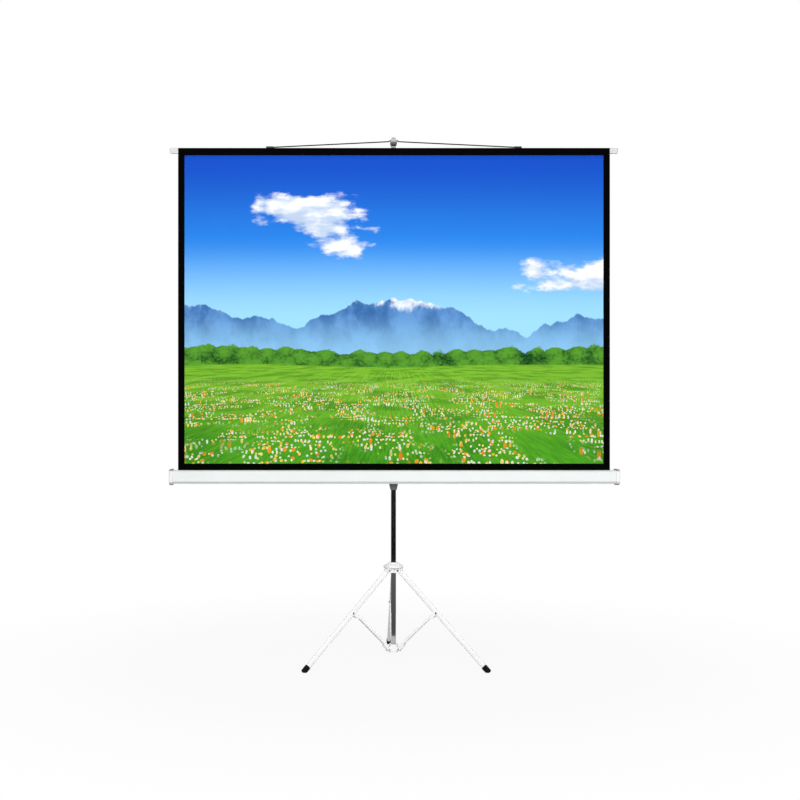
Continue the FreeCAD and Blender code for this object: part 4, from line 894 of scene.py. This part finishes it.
def screw_head(wires, given):
    """A domed head on the plane z = 0 with a cross cut into its top."""
    head = wires.add("GeometryNodeMeshCylinder", fill_type="TRIANGLE_FAN")
    head = wires.fill(head, vertices=SCREW_HEAD_SIDES, fill_segments=SCREW_HEAD_BANDS,
                      radius=given["Head"], depth=given["Rise"])[0]
    x, y, z = wires.split(wires.add("GeometryNodeInputPosition").outputs[0])
    out = wires.math("ADD", wires.product(x, x), wires.product(y, y))
    out = wires.math("DIVIDE", out, wires.product(given["Head"], given["Head"]))
    fall = wires.product(out, given["Rise"], wires.math("GREATER_THAN", z, 0.0), -SCREW_DOME)
    dome = wires.add("GeometryNodeSetPosition")
    head = wires.fill(dome, geometry=head, offset=wires.join(z=fall))[0]
    head = moved(wires, head, translation=wires.join(z=wires.product(given["Rise"], 0.5)))
    recess = wires.add("GeometryNodeMeshBoolean", operation="DIFFERENCE", solver="EXACT")
    wires.feed(recess.inputs["Mesh 1"], head)
    reach = wires.product(given["Head"], SCREW_CROSS)
    for long, wide in ((reach, given["Recess"]), (given["Recess"], reach)):
        size = wires.join(long, wide, given["Rise"])
        slot = wires.fill(wires.add("GeometryNodeMeshCube"), size=size)[0]
        wires.feed(recess.inputs["Mesh 2"], moved(wires, slot, translation=wires.join(z=given["Rise"])))
    return recess.outputs[0]


def screw_shank(wires, given):
    """A plain shank below the plane z = 0."""
    shank = wires.add("GeometryNodeMeshCylinder", fill_type="TRIANGLE_FAN")
    shank = wires.fill(shank, vertices=SCREW_SHANK_SIDES, radius=given["Shank"], depth=given["Length"])[0]
    return moved(wires, shank, translation=wires.join(z=wires.product(given["Length"], -0.5)))


def build_screw_tree():
    """Pan-head screws with a cross recess, at the corners of an upright rectangle, heads to the back."""
    labels = ("Across", "Apart", "Head", "Rise", "Shank", "Length", "Recess")
    sizes = [(label, "Float") for label in labels]
    wires, given = pattern_tree("recessed_screws", [("Middle", "Vector"), *sizes])
    grid = wires.add("GeometryNodeMeshGrid")
    grid = wires.fill(grid, size_x=given["Across"], size_y=given["Apart"], vertices_x=2, vertices_y=2)[0]
    spots = moved(wires, grid, translation=given["Middle"], rotation=FACING_BACK)
    head = screw_head(wires, given)
    shank = screw_shank(wires, given)
    whole = wires.add("GeometryNodeJoinGeometry")
    wires.feed(whole.inputs[0], head)
    wires.feed(whole.inputs[0], shank)
    return close_tree(wires, given, spots, whole.outputs[0], rotation=FACING_BACK)


def from_nodes(name, tree, body, slot, **values):
    """A piece made by a geometry node tree, kept as plain mesh."""
    piece = bpy.data.objects.new(name, bpy.data.meshes.new(name))
    scene.collection.objects.link(piece)
    modifier = piece.modifiers.new("pattern", "NODES")
    modifier.node_group = tree
    for item in tree.interface.items_tree:
        if item.in_out == "INPUT":
            modifier[item.identifier] = values[item.name.lower()]
    settle(piece)
    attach(piece, body)
    return piece


bead_row = build_bead_tree()
oval_rings = build_ring_tree()
recessed_screws = build_screw_tree()


def make_stitches():
    """One row of stitches on the front of the hem, above its foot."""
    return from_nodes(
        "hem_stitches", bead_row, "slat", "border_fabric",
        start=(hem_low[0] + STITCH_STEP / 2, hem_low[1], hem_low[2] + STITCH_RISE),
        step=(STITCH_STEP, 0.0, 0.0), count=int((hem_high[0] - hem_low[0]) / STITCH_STEP),
        size=STITCH_SIZE, material=hem_cloth)


def lever_face(z):
    """The point on the lever's outer face at a height."""
    _, point, _, _ = nodes["release_lever"].ray_cast((0.0, LEVER_RAY_START, z), (0.0, -1.0, 0.0))
    return point


def make_lever_ribs():
    """Grip ribs across the lever's outer face."""
    high = lever_face(lever_low[2] + LEVER_RIB_HIGH)
    low = lever_face(lever_low[2] + LEVER_RIB_LOW)
    wide = (lever_high[0] - lever_low[0]) * LEVER_RIB_SHARE
    from_nodes(
        "lever_ribs", bead_row, "lever", "black_plastic",
        start=high, step=(low - high) / (LEVER_RIBS - 1), count=LEVER_RIBS,
        size=(wide, LEVER_RIB_THICK, LEVER_RIB_TALL), material=finishes["black_plastic"])


def make_foot_ribs(side, hub_joint):
    """Ribs round the upper half of a foot, square to the leg."""
    hub = Vector(joints[hub_joint]["pos_m"])
    knee = Vector(joints[f"leg_{side}_hinge"]["pos_m"])
    brace = knee - hub
    axis = Vector((brace.x, brace.y, -brace.z)).normalized()
    across = Vector((-brace.y, brace.x, 0.0)).normalized()
    turn = Matrix((across, axis.cross(across), axis)).transposed().to_euler()
    foot_top = knee - axis * (knee.z / axis.z + FOOT_LENGTH)
    from_nodes(
        "foot_ribs_" + side, oval_rings, "leg_" + side, "black_rubber",
        start=foot_top + axis * FOOT_RIB_START, step=axis * FOOT_RIB_STEP, count=FOOT_RIBS,
        turn=turn, width=FOOT_WIDTH, depth=FOOT_DEPTH, bead=FOOT_RIB_BEAD,
        material=finishes["black_rubber"])


def make_screws():
    """The four screws that hold the end caps, in place of the plain ones of the frame."""
    wall = screw_high[1] - SCREW_RISE
    screws = from_nodes(
        "cap_screw_set", recessed_screws, "carriage", "zinc_steel",
        middle=(0.0, wall, (screw_low[2] + screw_high[2]) / 2),
        across=screw_high[0] - screw_low[0] - 2 * SCREW_HEAD,
        apart=screw_high[2] - screw_low[2] - 2 * SCREW_HEAD,
        head=SCREW_HEAD, rise=SCREW_RISE, shank=SCREW_SHANK, length=wall - screw_low[1],
        recess=SCREW_RECESS, material=finishes["zinc_steel"])
    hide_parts("cap_screws")


bpy.context.view_layer.update()
stitches = make_stitches()
make_lever_ribs()
make_foot_ribs("left", "brace_left_hinge")
make_foot_ribs("right", "brace_right_hinge")
make_foot_ribs("rear", "leg_fold")
make_screws()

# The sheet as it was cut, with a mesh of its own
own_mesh(cloth)

# Finishes on the solids of the frame
for entry in frame["record"]["subparts"]:
    if entry["material_slot"] in finishes:
        mesh = nodes[entry["node"]].data
        mesh.materials.clear()
        mesh.materials.append(finishes[entry["material_slot"]])
for name, finish in single_finishes.items():
    nodes[name].data.materials[0] = finish
for name in ("screen_cloth", "cloth_roll", "screen_hem"):
    nodes[name].data.materials.clear()
    nodes[name].data.materials.append(cloth_back)

# Studio: pale floor, white surroundings, soft light from the front and dark cards for the chrome.
# The floor's glow is two distances from the middle and the shares of white there.
WORLD_LEVEL = 0.40
FLOOR_REACH = 40.0
FLOOR_COLOUR = (0.48, 0.48, 0.48)
FLOOR_GLOW = (0.5, 2.4, 0.92, 1.0)

# Lamps: name, place, the point they are turned to, and watts
LAMP_SIZE = 2.6
LAMPS = (
    ("key", (-1.5, -4.8, 2.8), (0.0, 0.0, 1.0), 127.0),
    ("fill", (1.6, -4.4, 1.3), (0.0, 0.0, 0.5), 86.0),
    ("back", (0.5, 4.0, 3.6), (0.0, 0.0, 1.2), 52.0),
)

# Front card: its foot, step and top are each two heights and the values there
FRONT_CARD_OUT = 0.63
FRONT_CARD_HALF = 1.6
FRONT_CARD_HIGH = 2.6
FRONT_CARD_FOOT = (0.0, 0.30, 0.11, 0.19)
FRONT_CARD_STEP = (0.29, 0.35, 1.0, 0.0)
FRONT_CARD_MIDDLE = 0.014
FRONT_CARD_TOP = (1.2, 2.0, 0.0, 0.45)

# Banded ring: open to the front between its start and its end
RING_OUT = 1.25
RING_HIGH = 2.6
RING_START_DEGREES = 48
RING_END_DEGREES = 312
RING_STEPS = 66
RING_WAVES = 7
RING_LEAN = 1.5
RING_EDGES = (-0.7, 0.9)
RING_TONES = (0.05, 0.62)


def seen_directly(wires):
    """1 for rays that show the surroundings: camera, mirror and glass rays."""
    path = wires.add("ShaderNodeLightPath").outputs
    shown = wires.math("MAXIMUM", path["Is Camera Ray"], path["Is Glossy Ray"])
    return wires.math("MAXIMUM", shown, path["Is Transmission Ray"])


def build_world():
    """White where it is seen, and a dimmer light on the object."""
    world = bpy.data.worlds.new("white_studio")
    scene.world = world
    world.use_nodes = True
    wires = Wires(world.node_tree)
    world.node_tree.nodes.clear()
    dim = wires.add("ShaderNodeBackground")
    dim.inputs["Strength"].default_value = WORLD_LEVEL
    bright = wires.add("ShaderNodeBackground")
    for background in (dim, bright):
        background.inputs["Color"].default_value = paint((1.0, 1.0, 1.0))
    blend = wires.add("ShaderNodeMixShader")
    wires.feed(blend.inputs[0], seen_directly(wires))
    wires.feed(blend.inputs[1], dim.outputs[0])
    wires.feed(blend.inputs[2], bright.outputs[0])
    wires.feed(wires.add("ShaderNodeOutputWorld").inputs[0], blend.outputs[0])


def stage_piece(name, rows):
    """A sheet of the studio through rows of points, and the wires of its empty material."""
    piece = bpy.data.objects.new(name, strip_mesh(name, rows))
    scene.collection.objects.link(piece)
    material = bpy.data.materials.new(name)
    material.use_nodes = True
    material.node_tree.nodes.clear()
    piece.data.materials.append(material)
    return piece, Wires(material.node_tree)


def build_floor():
    """A matt floor that takes the shadow, and glows to white away from the object."""
    edges = (-FLOOR_REACH, FLOOR_REACH)
    rows = [[(x, y, 0.0) for x in edges] for y in edges]
    _, wires = stage_piece("pale_floor", rows)
    matt = wires.add("ShaderNodeBsdfDiffuse")
    matt.inputs["Color"].default_value = paint(FLOOR_COLOUR)
    glow = wires.add("ShaderNodeEmission")
    x, y, _ = wires.split(wires.place())
    out = wires.math("SQRT", wires.math("ADD", wires.product(x, x), wires.product(y, y)))
    blend = wires.add("ShaderNodeMixShader")
    wires.feed(blend.inputs[0], wires.product(wires.ease(out, *FLOOR_GLOW), seen_directly(wires)))
    wires.feed(blend.inputs[1], matt.outputs[0])
    wires.feed(blend.inputs[2], glow.outputs[0])
    wires.feed(wires.add("ShaderNodeOutputMaterial").inputs[0], blend.outputs[0])


def mirror_card(name, points, high):
    """An upright card along floor points that only mirror rays meet: its wires and its glow's strength."""
    rows = [[(x, y, z) for x, y in points] for z in (0.0, high)]
    card, wires = stage_piece(name, rows)
    card.visible_camera = False
    card.visible_diffuse = False
    card.visible_shadow = False
    card.visible_transmission = False
    glow = wires.add("ShaderNodeEmission")
    wires.feed(wires.add("ShaderNodeOutputMaterial").inputs[0], glow.outputs[0])
    return wires, glow.inputs["Strength"]


def build_front_card():
    """What the front of the mast mirrors: dark, lighter below the collar and up at the hook."""
    points = [(-FRONT_CARD_HALF, -FRONT_CARD_OUT), (FRONT_CARD_HALF, -FRONT_CARD_OUT)]
    wires, strength = mirror_card("front_card", points, FRONT_CARD_HIGH)
    z = wires.split(wires.place())[2]
    foot = wires.product(wires.span(z, *FRONT_CARD_FOOT), wires.ease(z, *FRONT_CARD_STEP))
    top = wires.math("ADD", wires.ease(z, *FRONT_CARD_TOP), FRONT_CARD_MIDDLE)
    wires.feed(strength, wires.math("ADD", foot, top))


def build_ring():
    """Dark and pale bands round the sides and the back, for the chrome to mirror."""
    sweep = RING_END_DEGREES - RING_START_DEGREES
    points = []
    for i in range(RING_STEPS + 1):
        turn = math.radians(RING_START_DEGREES + sweep * i / RING_STEPS)
        points.append((RING_OUT * math.sin(turn), -RING_OUT * math.cos(turn)))
    wires, strength = mirror_card("banded_ring", points, RING_HIGH)
    x, y, z = wires.split(wires.place())
    turn = wires.math("ARCTAN2", x, y)
    lean = wires.product(z, RING_LEAN)
    wave = wires.math("SINE", wires.math("ADD", wires.product(turn, RING_WAVES), lean))
    wires.feed(strength, wires.ease(wave, *RING_EDGES, *RING_TONES))


def build_lamp(name, at, aim, power):
    """A square soft lamp turned to a point."""
    lamp = bpy.data.lights.new(name, "AREA")
    lamp.shape = "SQUARE"
    lamp.size = LAMP_SIZE
    lamp.energy = power
    light = bpy.data.objects.new(name, lamp)
    light.location = at
    scene.collection.objects.link(light)
    way = [b - a for a, b in zip(at, aim)]
    flat = math.hypot(way[0], way[1])
    light.rotation_euler = (math.pi / 2 + math.atan2(way[2], flat), 0, math.atan2(-way[0], way[1]))


def build_camera():
    """A level camera whose picture is shifted sideways, so that uprights stay upright."""
    lens = bpy.data.cameras.new("viewer")
    lens.sensor_width = SENSOR_MM
    lens.lens = SENSOR_MM * FOCAL_PIXELS / PICTURE_PIXELS
    lens.shift_x = 0.5 - CENTRE_PIXEL / PICTURE_PIXELS
    camera = bpy.data.objects.new("viewer", lens)
    camera.location = EYE
    camera.rotation_euler = (math.pi / 2, 0, 0)
    scene.collection.objects.link(camera)
    scene.camera = camera


build_world()
build_floor()
build_front_card()
build_ring()
for lamp in LAMPS:
    build_lamp(*lamp)
build_camera()
scene.view_settings.view_transform = "Standard"
